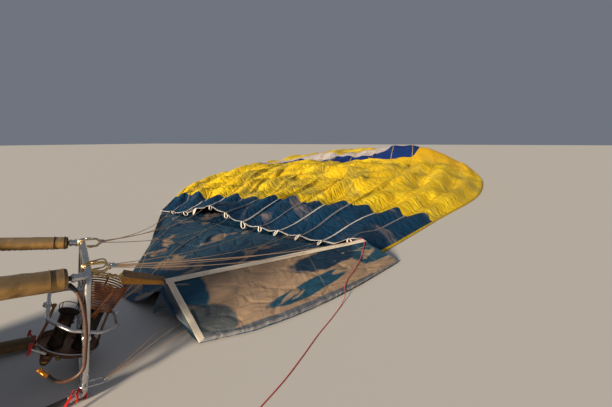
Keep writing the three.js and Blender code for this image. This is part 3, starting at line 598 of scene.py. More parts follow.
def wicker_finish():
    f = Finish("willow", (0.42, 0.235, 0.085), 0.6, coords="UV", Coat_Weight=0.15)
    f.patch(f.noise(3.5, 5, f.stretched((1, 6, 1))), 0.42, 0.66, 0.75, (0.22, 0.105, 0.035))
    f.patch(f.noise(9, 4), 0.6, 0.75, 0.5, (0.60, 0.42, 0.2))
    f.bump(f.noise(50, 4, f.stretched((1, 0.2, 1))), 0.0015, 0.5)
    return f.material


def hide_finish():
    """Rawhide or leather: pebbled grain, creases and scuffed lighter edges."""
    f = Finish("rawhide_leather", (0.16, 0.085, 0.042), 0.55, Coat_Weight=0.1)
    f.patch(f.noise(11, 6, distortion=0.6), 0.5, 0.72, 0.65, (0.30, 0.18, 0.1))
    f.bump(f.cells(190), 0.0012, 0.6)
    f.bump(f.noise(22, 5), 0.004, 0.35)
    return f.material


def board_finish():
    f = Finish("birch_board", (0.27, 0.165, 0.08), 0.65)
    grain = f.noise(30, 5, f.stretched((1, 1, 0.12), turn=0.6), distortion=0.6)
    f.patch(grain, 0.4, 0.62, 0.7, (0.13, 0.078, 0.04))
    f.patch(f.noise(2.6, 6), 0.5, 0.75, 0.6, (0.11, 0.09, 0.065))
    f.bump(grain, 0.001, 0.4)
    return f.material


def jacket_finish():
    """Quilted fabric of the cylinders' jackets."""
    f = Finish("jacket_fabric", (0.045, 0.052, 0.062), 0.85, coords="UV", Sheen_Weight=0.3)
    f.patch(f.noise(9, 5), 0.5, 0.72, 0.5, (0.10, 0.105, 0.11))
    f.bump(f.wave(9, "Y"), 0.003, 0.3)
    f.bump(f.noise(30, 4), 0.004, 0.5)
    return f.material


CLOTH_WIDTH = 1.15
YELLOW = (0.82, 0.55, 0.016)
# Yellow cloth: lit is a painted highlight and shade is a painted shade; far is the tone towards the crown
YELLOW_TONES_AND_PAINTED_LIGHT = {"lit": (0.98, 0.70, 0.02), "shade": (0.50, 0.39, 0.055), "far": (0.88, 0.50, 0.010)}
CROWN_YELLOW = (0.74, 0.53, 0.05)
FAR_TONE = (10.0, 13.0)
# Navy cloth: its lilac-grey lit tone is a painted sheen of low light off the cloth
NAVY_PAINTED_SHEEN = {"lit": (0.24, 0.205, 0.215), "lit_from": 0.555, "gloss": 0.55}
# Scoop: the tan is painted sunlight on the blue cloth; the shade tone and the side panel's spots are painted
# shade
SCOOP_SUNLIT_TAN = (0.38, 0.265, 0.18)
SCOOP_SHADED_BLUE = (0.020, 0.075, 0.13)
SCOOP_SHADE = (0.016, 0.042, 0.08)
SIDE_PAINTED_SHADE = [
    ((0.22, 0.2, 0.34, 0.36, 0.0), (0.085, 0.10, 0.11)),
    ((0.98, 0.1, 0.42, 0.26, 0.5), SCOOP_SHADED_BLUE),
    ((0.36, 1.6, 0.13, 0.62, -0.16), SCOOP_SHADED_BLUE),
    ((0.88, 2.15, 0.24, 0.75, -0.2), SCOOP_SHADE),
    ((0.66, 2.8, 0.50, 0.42, 0.0), SCOOP_SHADED_BLUE),
    ((0.02, 1.3, 0.10, 1.3, 0.0), (0.11, 0.13, 0.16)),
]
add_camera()
material = {
    "floor": Finish("pale_floor", (0.62, 0.61, 0.59), 0.9).material,
    "yellow": cloth_finish("yellow_ripstop", YELLOW, (0.85, 0.62, 0.05), (0.42, 0.31, 0.02), **YELLOW_TONES_AND_PAINTED_LIGHT),
    "crown": cloth_finish("crown_ripstop", CROWN_YELLOW, (0.85, 0.60, 0.06), (0.48, 0.36, 0.03), relief=0.6),
    "navy": cloth_finish(
        "navy_ripstop", (0.008, 0.050, 0.115), (0.12, 0.12, 0.14), (0.005, 0.024, 0.060), **NAVY_PAINTED_SHEEN,
    ),
    "royal": cloth_finish("royal_ripstop", (0.008, 0.034, 0.19), (0.05, 0.075, 0.18), (0.005, 0.02, 0.10)),
    "white": cloth_finish("white_ripstop", (0.54, 0.50, 0.50), (0.66, 0.62, 0.58), (0.34, 0.32, 0.34)),
    # Scoop cloths: the lit tones and the side panel's tan base are painted sunlight, its spots painted shade
    "scoop": scoop_finish("scoop_cloth", (0.032, 0.085, 0.145), SCOOP_SUNLIT_TAN, SCOOP_SHADE, []),
    "scoop_side": scoop_finish(
        "scoop_side_cloth", SCOOP_SUNLIT_TAN, (0.46, 0.32, 0.20), (0.24, 0.19, 0.15), SIDE_PAINTED_SHADE,
    ),
    "flap": scoop_finish("scoop_flap_cloth", (0.12, 0.155, 0.19), (0.26, 0.25, 0.24), (0.06, 0.09, 0.13), []),
    "foot_hem": woven_finish("foot_hem_tape", (0.24, 0.235, 0.24), (0.11, 0.13, 0.17), 0.006),
    "tape": woven_finish("load_tape", (0.80, 0.76, 0.70), (0.44, 0.40, 0.36), 0.006),
    "hem_tape": woven_finish("hem_tape", (0.94, 0.84, 0.68), (0.72, 0.60, 0.45), 0.006),
    # Dark grey tape: painted shade on some load tapes over the dark band
    "soiled_tape": woven_finish("soiled_tape", (0.27, 0.26, 0.27), (0.08, 0.12, 0.18), 0.006),
    "gore_tape": woven_finish("gore_tape", (0.66, 0.45, 0.014), (0.36, 0.25, 0.01), 0.006),
    "strap": woven_finish("strap_webbing", (0.86, 0.38, 0.06), (0.40, 0.17, 0.04), 0.005),
    "red_web": woven_finish("red_webbing", (0.55, 0.02, 0.015), (0.2, 0.01, 0.01), 0.005),
    "steel": metal_finish("polished_steel", (0.62, 0.62, 0.63), 0.24),
    # Steel tinted warm gold: a painted reflection of warm low light
    "gold_steel": metal_finish("chain_steel", (0.66, 0.47, 0.22), 0.3, (0.3, 0.2, 0.1)),
    "strap_shade": woven_finish("strap_webbing_shade", (0.24, 0.17, 0.11), (0.10, 0.07, 0.05), 0.005),
    # Warm orange on the steel wires: a painted reflection of warm low light
    "wire": metal_finish("wire_steel", (0.98, 0.70, 0.45), 0.58, worn=0.15),
    "scorched": scorched_finish(),
    "cast": painted_finish("scorched_casting", (0.035, 0.024, 0.018), 0.5, (0.16, 0.07, 0.035), 0.6),
    "soot": painted_finish("sooted_metal", (0.012, 0.011, 0.011), 0.6, (0.05, 0.03, 0.02), 0.4),
    "ring_metal": metal_finish("bright_alloy", (0.60, 0.60, 0.62), 0.32),
    "pan": painted_finish("browned_pan", (0.20, 0.095, 0.05), 0.45, (0.30, 0.16, 0.09), 0.55),
    "white_plastic": painted_finish("white_plastic", (0.75, 0.74, 0.70), 0.4, (0.5, 0.48, 0.44)),
    "dark_red": painted_finish("dark_red_plastic", (0.24, 0.012, 0.010), 0.4, (0.12, 0.01, 0.01)),
    "orange_brass": metal_finish("coupling_brass", (0.80, 0.30, 0.06), 0.32, (0.3, 0.12, 0.04)),
    "brass": metal_finish("brass", (0.62, 0.36, 0.11), 0.3, (0.22, 0.13, 0.06)),
    "red": painted_finish("red_plastic", (0.62, 0.022, 0.015), 0.4, (0.35, 0.02, 0.02)),
    "suede": suede_finish(),
    "suede_binding": painted_finish("suede_binding", (0.13, 0.085, 0.045), 0.7, (0.2, 0.14, 0.08)),
    "black": painted_finish("black_rod", (0.018, 0.018, 0.02), 0.42, (0.07, 0.07, 0.075)),
    "wicker": wicker_finish(),
    "hide": hide_finish(),
    "board": board_finish(),
    "jacket": jacket_finish(),
    "red_rope": rope_finish("red_rope", (0.80, 0.012, 0.010), (0.42, 0.006, 0.006), 0.02),
    "hose": painted_finish("hose_rubber", (0.105, 0.05, 0.028), 0.45, (0.20, 0.11, 0.06)),
}

# Slots, each with the finishes that belong to it
SLOTS = {
    "yellow_cloth": "yellow crown", "navy_cloth": "navy", "royal_cloth": "royal",
    "white_cloth": "white tape hem_tape soiled_tape gore_tape",
    "scoop_cloth": "scoop scoop_side flap foot_hem",
    "strap_webbing": "strap strap_shade red_web", "polished_steel": "steel gold_steel ring_metal",
    "wire_steel": "wire", "scorched_coil": "scorched", "burner_metal": "pan soot cast",
    "red_plastic": "red dark_red white_plastic", "brass_fittings": "brass orange_brass",
    "hose_rubber": "hose", "black_rod": "black", "suede": "suede", "rawhide": "hide suede_binding",
    "red_rope": "red_rope", "wicker": "wicker", "tank_jacket": "jacket",
}
SLOT_OF = {finish: slot for slot, finishes in SLOTS.items() for finish in finishes.split()}


# Envelope: its surface is a function of u, across from -1 to 1, and s, the distance from the mouth
LENGTH = 22.3
GORES = 12
OUTLINE = [
    (0, 2.62), (2.1, 3.6), (5, 4.9), (8.5, 5.75), (12.5, 6.2), (16, 5.9), (19, 4.5), (21.3, 2.3),
    (22.3, 0.26),
]
LOFT = [
    (0, 0.09), (2.1, 0.23), (5, 0.43), (8.8, 0.7), (11.2, 0.48), (14.5, 0.9), (18, 0.9), (21, 0.38),
    (22.3, 0.04),
]
MOUTH_SKEW = -0.29
SKEW_REACH = 5.0
CROWN_BULGE = (3.7, 14.2, 2.7, 3.6, 0.76)
MOUTH_ARCH = (-0.9, 0, 0.62, 0.9, 0.26)
MOUTH_CORNER = (2.4, 0, 0.33, 0.7, 0.2)
PLEAT = 0.095
SCALLOP = 0.13
BAND_TOP = 2.15
GROUND_SEAM = 14.5
SHEET = 0.003
NOISE_CELLS = 64


def between(p, count):
    """Rows resampled: cubic pieces through them, with the slope at a row half of the step between its
    neighbours."""
    t = np.linspace(0, len(p) - 1, count)
    i = np.minimum(t.astype(int), len(p) - 2)
    w = (t - i).reshape(-1, *[1] * (p.ndim - 1))
    p0, p1, p2, p3 = p[np.maximum(i - 1, 0)], p[i], p[i + 1], p[np.minimum(i + 2, len(p) - 1)]
    v1, v2 = (p2 - p0) / 2, (p3 - p1) / 2
    return (2 * p1 - 2 * p2 + v1 + v2) * w**3 + (3 * p2 - 3 * p1 - 2 * v1 - v2) * w**2 + v1 * w + p1


def along(table):
    """Smooth value at any distance, from rows of [distance, value]."""
    line = between(np.asarray(table, float), 201)
    return lambda s: np.interp(s, line[:, 0], line[:, 1])


half_width = along(OUTLINE)
loft = along(LOFT)


def laid(u, s):
    """Ground place: across in proportion to the half-width, and shifted along where the mouth is askew."""
    skew = MOUTH_SKEW * np.maximum(0, 1 - s / SKEW_REACH) ** 2
    x = u * half_width(s)
    return x, s + skew * x


def hill(x, s, x0, s0, reach_x, reach_s, height):
    return height * np.exp(-(((x - x0) / reach_x) ** 2) - ((s - s0) / reach_s) ** 2)


def rise(u, s, pleat=PLEAT):
    """Height of the upper layer: the trapped air's loft with its hills and one cosine pleat a gore, rounded
    off to nothing at the side edges."""
    x = u * half_width(s)
    edge = np.maximum(1 - u * u, 0) ** 0.55
    waves = pleat * np.cos(np.pi * GORES * u) * np.minimum(1, loft(s) / 0.4)
    body = loft(s) + hill(x, s, *CROWN_BULGE) + hill(x, s, *MOUTH_ARCH) + waves
    corner = hill(x, s, *MOUTH_CORNER) * np.minimum(1, (1 - np.abs(u)) / 0.06)
    return np.maximum(body, 0.03) * edge + corner


def band_seam(u):
    return BAND_TOP - SCALLOP * np.cos(np.pi * GORES * u)


def stripe_edge(start, turn_at):
    """Edge of a stripe: it crosses at a slant, and climbs 5 m over the crown's bulge from where it turns."""
    return lambda u: start + 1.3 * u + 5.0 * smoothstep((u - turn_at) / 0.16)


blue_seam = stripe_edge(11.2, 0.49)
white_seam = stripe_edge(12.9, 0.26)
crown_seam = stripe_edge(14.3, 0.13)


def wander(seed, x, y):
    """Smooth noise from -1 to 1: random numbers at whole coordinates, eased in between."""
    table = np.random.default_rng(seed).uniform(-1, 1, (NOISE_CELLS, NOISE_CELLS))
    i, j = np.floor(x).astype(int), np.floor(y).astype(int)
    a, b = smoothstep(x - i), smoothstep(y - j)

    def row(j):
        return table[i % NOISE_CELLS, j] * (1 - a) + table[(i + 1) % NOISE_CELLS, j] * a

    return row(j % NOISE_CELLS) * (1 - b) + row((j + 1) % NOISE_CELLS) * b


TAPE_STEP = 14
COLUMNS = TAPE_STEP * GORES + 1
ROWS = 265
ROW_POWER = 1.35
SETTLE_FRAMES = 30
CLOTH_MARGIN = 0.012
SPARE_ACROSS = 0.1
SPARE_ALONG = 0.04
FOLD_HEIGHT = 0.15


def away_from_edges(u, s):
    """1 in the middle of the layer, down to 0 at its four edges."""
    return np.clip((1 - np.abs(u)) / 0.1, 0, 1) * np.clip(s / 1.5, 0, 1) * np.clip((LENGTH - s) / 1.5, 0, 1)


def rested():
    """Draft of the upper layer before it is crumpled: rows closer together towards the mouth."""
    s = LENGTH * np.linspace(0, 1, ROWS) ** ROW_POWER
    u = np.linspace(-1, 1, COLUMNS)
    u, s = np.meshgrid(u, s)
    x, y = laid(u, s)
    return u, s, np.stack([x, y, CLOTH + GAP + rise(u, s)], -1)


def settle(name, points, spare, held, support, frames_count, bending):
    """Cloth that is cut larger than its room by the spare shares of x, y and z, held by a weight at each
    point, and let fall on a support. Gives the points where it comes to lie."""
    _, faces, _ = grid(points)
    mesh = bpy.data.meshes.new(name)
    mesh.from_pydata((points + ORIGIN).reshape(-1, 3).tolist(), [], faces.tolist())
    cloth = bpy.data.objects.new(name, mesh)
    group = cloth.vertex_groups.new(name="held")
    for weight in np.unique(held[held > 0]):
        group.add(np.flatnonzero(held.ravel() == weight).tolist(), float(weight), "REPLACE")
    _, below, _ = grid(support)
    under = bpy.data.meshes.new(name + "_support")
    under.from_pydata((support + ORIGIN).reshape(-1, 3).tolist(), [], below.tolist())
    carrier = bpy.data.objects.new(name + "_support", under)
    scene = bpy.context.scene
    for made in (cloth, carrier):
        scene.collection.objects.link(made)
    cloth.shape_key_add(name="laid")
    cut = cloth.shape_key_add(name="cut")
    cut.data.foreach_set("co", ((points + ORIGIN) * (1 + np.asarray(spare))).astype(np.float32).ravel())
    carrier.modifiers.new("held", "COLLISION")
    carrier.collision.thickness_outer = CLOTH_MARGIN
    carrier.collision.cloth_friction = 12
    folding = cloth.modifiers.new("folding", "CLOTH")
    settings = folding.settings
    settings.quality = 5
    settings.mass = 0.06
    settings.tension_stiffness = 25
    settings.compression_stiffness = 25
    settings.shear_stiffness = 12
    settings.bending_stiffness = bending
    settings.air_damping = 2
    settings.vertex_group_mass = "held"
    settings.pin_stiffness = 1
    settings.rest_shape_key = cloth.data.shape_keys.key_blocks["cut"]
    folding.collision_settings.distance_min = CLOTH_MARGIN
    folding.point_cache.frame_end = frames_count
    for step in range(1, frames_count + 1):
        scene.frame_set(step)
    settled = cloth.evaluated_get(bpy.context.evaluated_depsgraph_get()).data
    found = np.empty(points.size, np.float32)
    settled.vertices.foreach_get("co", found)
    found = found.reshape(points.shape).astype(float) - ORIGIN
    for made, data in ((cloth, mesh), (carrier, under)):
        bpy.data.objects.remove(made)
        bpy.data.meshes.remove(data)
    scene.frame_set(1)
    return found


def crumpled():
    """The upper layer, cut larger across and along than its outline has room for, held along the load tapes
    and the edges, and let fall on the trapped air until it lies in folds."""
    u, s, points = rested()
    x = points[..., 0]
    inside = away_from_edges(u, s)
    slow = wander(3, x / 1.9 + 7, s / 1.6) + 0.6 * wander(4, x / 0.8 + 9, s / 1.1)
    points[..., 2] += 0.055 * slow * inside * np.minimum(1, loft(s) / 0.4)
    points[..., 0] += 0.06 * wander(5, u * 6 + 9, s / 1.3) * inside
    long = wander(8, x / 0.34 + 0.5 * wander(9, x / 1.2, s / 1.5), s / 2.2 + x / 3)
    points[..., 2] += 0.03 * long * inside
    points[..., 2] = np.maximum(points[..., 2], CLOTH + GAP)
    held = np.where(np.arange(COLUMNS) % TAPE_STEP == 0, 0.2, 0.0) + 0 * u
    held[[0, -1]] = 1.0
    held[:, [0, -1]] = 1.0
    air = np.array(points)
    air[..., 2] = CLOTH + GAP + np.maximum(rise(u, s, 0) - 0.05, 0)
    return settle("cloth_draft", points, (SPARE_ACROSS, SPARE_ALONG, 0), held, air, SETTLE_FRAMES, 0.22)


def averaged(points, reach):
    """Each point moved to the mean of its neighbours, up to some rows and columns away."""
    wide = 2 * reach + 1
    padded = np.pad(points, ((reach, reach), (reach, reach), (0, 0)), mode="edge")
    rows = sum(padded[k:k + len(points)] for k in range(wide)) / wide
    return sum(rows[:, k:k + points.shape[1]] for k in range(wide)) / wide


def broad_folds(points, u, s):
    """Folds a stride wide that cross the gores at a slant: noise drawn out along the cloth, its crests kept
    and its hollows flattened. Patches of the creases are eased, and the cloth over the bulge is smooth."""
    x = points[..., 0]
    inside = away_from_edges(u, s)
    plain = smoothstep(0.5 + 1.1 * wander(54, x / 1.5 + 3, s / 1.9 + 5)) * inside
    lying = points + (averaged(points, 3) - points) * 0.85 * plain[..., None]
    drift = 0.9 * wander(51, x / 2.2 + 5, s / 2.6)
    crest = wander(52, (x - 0.5 * s) / 0.66 + drift + 20, (s + 0.3 * x) / 1.7 + 11)
    narrow = wander(53, (x - 0.4 * s) / 0.3 + 30, s / 1.1 + 7)
    relief = FOLD_HEIGHT * (np.maximum(crest, -0.45) + 0.3 * narrow) * np.minimum(1, loft(s) / 0.35)
    pleats = PLEAT * (0.6 + 0.5 * wander(55, x / 0.9, s / 2)) * np.cos(np.pi * GORES * u)
    pleats = pleats * np.minimum(1, loft(s) / 0.4)
    lying = lying + ((relief - pleats) * inside)[..., None] * up
    taut = np.clip(1.7 * hill(x, s, *CROWN_BULGE[:2], 2.3, 2.9, 1) - 0.25, 0, 1)[..., None]
    smooth = rested()[2]
    smooth[..., 2] -= 0.6 * PLEAT * np.cos(np.pi * GORES * u)
    lying = lying * (1 - taut) + smooth * taut
    lying[..., 2] = np.maximum(lying[..., 2], np.minimum(points[..., 2], 3 * CLOTH))
    return lying


folds = broad_folds(crumpled(), *rested()[:2])


def on_cloth(u, s):
    """Point of the crumpled layer at any u and s, by cubic interpolation both ways in its draft."""
    across = (np.asarray(u, float) + 1) / 2 * (COLUMNS - 1)
    up_rows = (np.clip(np.asarray(s, float) / LENGTH, 0, 1)) ** (1 / ROW_POWER) * (ROWS - 1)
    across, up_rows = np.broadcast_arrays(across, up_rows)
    j, i = np.clip(across.astype(int), 0, COLUMNS - 2), np.clip(up_rows.astype(int), 0, ROWS - 2)
    a, b = (across - j)[..., None], (up_rows - i)[..., None]

    def weights(t):
        before, after = (-t + 2 * t**2 - t**3) / 2, (t**3 - t**2) / 2
        return before, (2 - 5 * t**2 + 3 * t**3) / 2, (t + 4 * t**2 - 3 * t**3) / 2, after

    total = 0
    for row, wb in enumerate(weights(b), -1):
        line = sum(
            wa * folds[np.clip(i + row, 0, ROWS - 1), np.clip(j + column, 0, COLUMNS - 1)]
            for column, wa in enumerate(weights(a), -1)
        )
        total = total + wb * line
    return total + ORIGIN


def upper_panel(name, u_from, u_to, seam_from, seam_to, columns, rows, finish):
    """Panel of the upper layer between two seams, sampled evenly in u and between the seams."""
    across, up_rows = np.meshgrid(np.linspace(u_from, u_to, columns), np.linspace(0, 1, rows))
    s = seam_from(across) * (1 - up_rows) + seam_to(across) * up_rows
    points = on_cloth(across, s)
    width = half_width(s) * (across + 1)
    shape = thick(points, SHEET, np.stack([width, s], -1))
    made = piece(name, [shape], finish, replaces=[name], sharp=80)


def add_envelope():
    def zero(u):
        return 0 * u

    def end(u):
        return LENGTH + 0 * u

    third = 1 / 3
    fine, coarse = 20 * GORES + 1, 14 * GORES + 1
    upper_panel("mouth_band", -1, 1, zero, band_seam, fine, 54, "navy")
    for side, low, high in (("left", -1, -third), ("middle", -third, third), ("right", third, 1)):
        name, columns = "yellow_gores_" + side, fine // 3 + 1
        upper_panel(name, low, high, band_seam, blue_seam, columns, 160, "yellow")
    upper_panel("blue_stripe", -1, 1, blue_seam, white_seam, coarse, 26, "royal")
    upper_panel("white_stripe", -1, 1, white_seam, crown_seam, coarse, 22, "white")
    upper_panel("crown_panel", -1, 1, crown_seam, end, coarse, 76, "crown")


add_envelope()


# Load tapes and the mouth's hem
TAPE_WIDTH = 0.036
# Load tapes over the band that stay white; the others get the dark grey tape as painted shade
UNSHADED_TAPES = (2, 3, 6, 8, 10)
TAPE_DEPTH = 0.004
HEM_WIDTH = 0.034
GORE_TAPE, EDGE_TAPE = 0.024, 0.03
CROWN_RING = 0.15, 0.012


def lifted(points, height):
    """The same surface, height higher along its normals."""
    normal = unit(np.cross(np.gradient(points, axis=1), np.gradient(points, axis=0)) + 1e-12)
    return points + height * normal


def laid_strip(points, wide):
    """Strip that lies on a surface, its UV in metres across and along."""
    middle = points[:, points.shape[1] // 2]
    run = distance_along(middle)
    uv = np.stack(np.meshgrid(np.linspace(0, wide, points.shape[1]), run), -1)
    return thick(lifted(points, TAPE_DEPTH), TAPE_DEPTH, uv)


def tape_on_cloth(u, s_from, s_to, count, width=TAPE_WIDTH):
    s = np.linspace(s_from, s_to, count)[:, None]
    across = np.linspace(-0.5, 0.5, 3) * width / half_width(s)
    return laid_strip(on_cloth(u + across, s), width)


def tape_loop(u, seed):
    """End of a load tape: a short loop that hangs over the hem and lies to one side, with a steel ring."""
    rng = np.random.default_rng(seed)
    root = on_cloth(u, 0.03)
    back = -unit((on_cloth(u, 0.3) - root) * (1, 1, 0))
    side = np.cross(up, back)
    lean = rng.choice([-1, 1]) * rng.uniform(0.03, 0.09)
    drop = min(root[2] - ORIGIN[2] - 0.03, rng.uniform(0.06, 0.13))
    steps = [
        (-0.03, 0, 0.008), (0.025, 0, 0.008), (0.06, 0.15, -0.25 * drop), (0.085, 0.5, -0.75 * drop),
        (0.07, 0.95, -drop), (0.04, 1.15, -0.85 * drop), (0.02, 1.05, -0.45 * drop),
        (0.012, 0.6, -0.1 * drop), (-0.01, 0.25, 0.004),
    ]
    path = [root + d * back + z * up + lean * share * side for d, share, z in steps]
    band = ribbon(curve(path, 44), TAPE_WIDTH * 0.55, TAPE_DEPTH, up + 0.6 * back)
    ring = ring_shape(path[4] - 0.012 * up, side + 0.4 * up, 0.016, 0.003, 8, 28)
    return band, ring


def add_tapes():
    """Webbing on every seam between two gores, from the mouth to the crown ring: white over the dark band,
    some of them dark grey there as painted shade, and yellow with age above it, and a white hem round the
    mouth."""
    seams = [-1 + 2 * k / GORES for k in range(1, GORES)]
    lower = {k: tape_on_cloth(u, 0.01, BAND_TOP - SCALLOP, 60) for k, u in enumerate(seams, 1)}
    unshaded = [lower[k] for k in UNSHADED_TAPES]
    # Painted shade: the other tapes over the band
    painted_shaded = [strip for k, strip in lower.items() if k not in UNSHADED_TAPES]
    piece("load_tapes", unshaded, "tape", sharp=80)
    piece("soiled_load_tapes", painted_shaded, "soiled_tape", sharp=80)
    yellow = [tape_on_cloth(u, BAND_TOP - SCALLOP, LENGTH - 0.1, 260, GORE_TAPE) for u in seams]
    piece("gore_tapes", yellow, "gore_tape", sharp=80)
    u, s = np.meshgrid(np.linspace(-1, 1, 300), np.linspace(0, HEM_WIDTH, 3))
    hem = laid_strip(np.swapaxes(on_cloth(u, s), 0, 1)[:, ::-1], HEM_WIDTH)
    piece("mouth_hem", [hem], "tape", sharp=80)
    loops, rings = [], []
    for k, u in enumerate(seams):
        band, ring = tape_loop(u, 40 + k)
        loops.append(band)
        rings.append(ring)
    piece("mouth_tape_loops", loops, "tape", sharp=80)
    piece("mouth_loop_rings", rings, "steel")
    edges = []
    for side in (-1, 1):
        s = np.linspace(0.02, LENGTH - 0.3, 260)[:, None]
        u = side * (1 - np.linspace(0, EDGE_TAPE, 4) / half_width(s))
        strip = on_cloth(u, s)
        edges.append(laid_strip(strip if side < 0 else strip[:, ::-1], EDGE_TAPE))
    piece("edge_tapes", edges, "gore_tape", sharp=80)


def add_ground_layers():
    """Under layer, flat on the ground, with low puckers that run in from its edges."""
    parts = [
        ("mouth_band_ground_side", 0, BAND_TOP, 24, "navy"),
        ("yellow_gores_ground_side", BAND_TOP, GROUND_SEAM, 60, "yellow"),
        ("crown_ground_side", GROUND_SEAM, LENGTH, 40, "yellow"),
    ]
    for name, s_from, s_to, rows, finish in parts:
        u, s = np.meshgrid(np.linspace(-1, 1, 61), np.linspace(s_from, s_to, rows))
        x, y = laid(u, s)
        pucker = np.abs(wander(21, s / 0.16, 3 + 0 * u + np.sign(u))) * np.clip((np.abs(u) - 0.9) / 0.1, 0, 1)
        z = 0.004 + 0.006 * pucker
        points = np.stack([x, y, z], -1) + ORIGIN
        made = piece(name, [thick(points, SHEET, np.stack([x, s], -1))], finish, replaces=[name], sharp=80)


def add_crown_ring():
    """Welded steel ring that gathers the load tapes at the crown, with a bound cloth edge round it."""
    radius, bar = CROWN_RING
    centre = ORIGIN + (0, LENGTH + radius + bar + GAP - 0.0008, bar)
    ring = centre + polar(radius, np.linspace(0, 2 * np.pi, 97)[:-1])
    piece("crown_ring_steel", [pipe(ring, bar, 16, up, closed=True)], "steel", replaces=["crown_ring"])
    loops = []
    for k in range(GORES - 1):
        angle = -math.pi / 2 + (k - 5) * 0.17
        way = np.array([math.cos(angle), math.sin(angle), 0])
        round_bar = np.linspace(0, 2 * np.pi, 21)[:-1]
        hoop = np.cos(round_bar)[:, None] * way + np.sin(round_bar)[:, None] * up
        path = centre + radius * way + (bar + 0.0035) * hoop
        path[:, 2] = np.maximum(path[:, 2], ORIGIN[2] + 0.003)
        loops.append(swept(path, band_section(0.003, 0.022), np.cross(way, up), closed=True))
    piece("crown_ring_loops", loops, "tape", sharp=60)


add_tapes()
add_ground_layers()
add_crown_ring()


# Scoop: a ground panel, and a side panel that leans from its foot line to a hem from the frame to the mouth
NOSE = (0.907, -3.059, 0.4)
NOSE_FOOT = (1.43, -3.29)
FLAP_FOOT = (0.72, -3.03)
FOOT = (2.13, -2.7)
MOUTH_FOOT_X = 2.96
FAR_NOSE = (0.02, -2.83)
FAR_EDGE = (-0.94, -1.35)
MOUTH_LEFT_X = -2.56
SIDE_ROWS, SIDE_COLUMNS = 160, 76
MOUTH_RIGHT_X = 2.44


def mouth_height(x):
    return CLOTH + GAP + rise(x / half_width(0), 0)


def line_at(points, share):
    """Place on a line of straight stretches, each an equal share of it."""
    at = share * (len(points) - 1)
    return np.stack([np.interp(at, np.arange(len(points)), values) for values in np.transpose(points)], -1)


far_line = [FAR_NOSE, FAR_EDGE, (MOUTH_LEFT_X, MOUTH_SKEW * MOUTH_LEFT_X)]
foot_line = [NOSE_FOOT, FOOT, (MOUTH_FOOT_X, MOUTH_SKEW * MOUTH_FOOT_X)]
hem_line = [NOSE, (MOUTH_RIGHT_X, MOUTH_SKEW * MOUTH_RIGHT_X, mouth_height(MOUTH_RIGHT_X))]


def foot_at(share):
    """Place on the foot line, its corner rounded: the mean of nine places round it, closer at the ends."""
    reach = np.minimum(0.3, np.minimum(share, 1 - share))
    return sum(line_at(foot_line, share + k * reach) for k in np.linspace(-1, 1, 9)) / 9


def scoop_side(across, share, foot):
    """Straight lines from the foot line, at 0 across, to the hem line, at 1."""
    foot = np.concatenate([foot, np.full((*foot.shape[:-1], 1), CLOTH + GAP)], -1)
    return foot + (line_at(hem_line, share) - foot) * across[..., None]


def finer(points, rows, columns):
    """A grid of points resampled by cubic interpolation both ways."""
    points = between(points, rows)
    return np.moveaxis(between(np.moveaxis(points, 1, 0), columns), 0, 1)


def floor_under(points, z=0.0):
    """Flat support a little larger than a piece."""
    low, high = points.reshape(-1, 3).min(0) - 0.4, points.reshape(-1, 3).max(0) + 0.4
    x, y = np.meshgrid(np.linspace(low[0], high[0], 4), np.linspace(low[1], high[1], 4))
    return np.stack([x, y, np.full(x.shape, z)], -1)


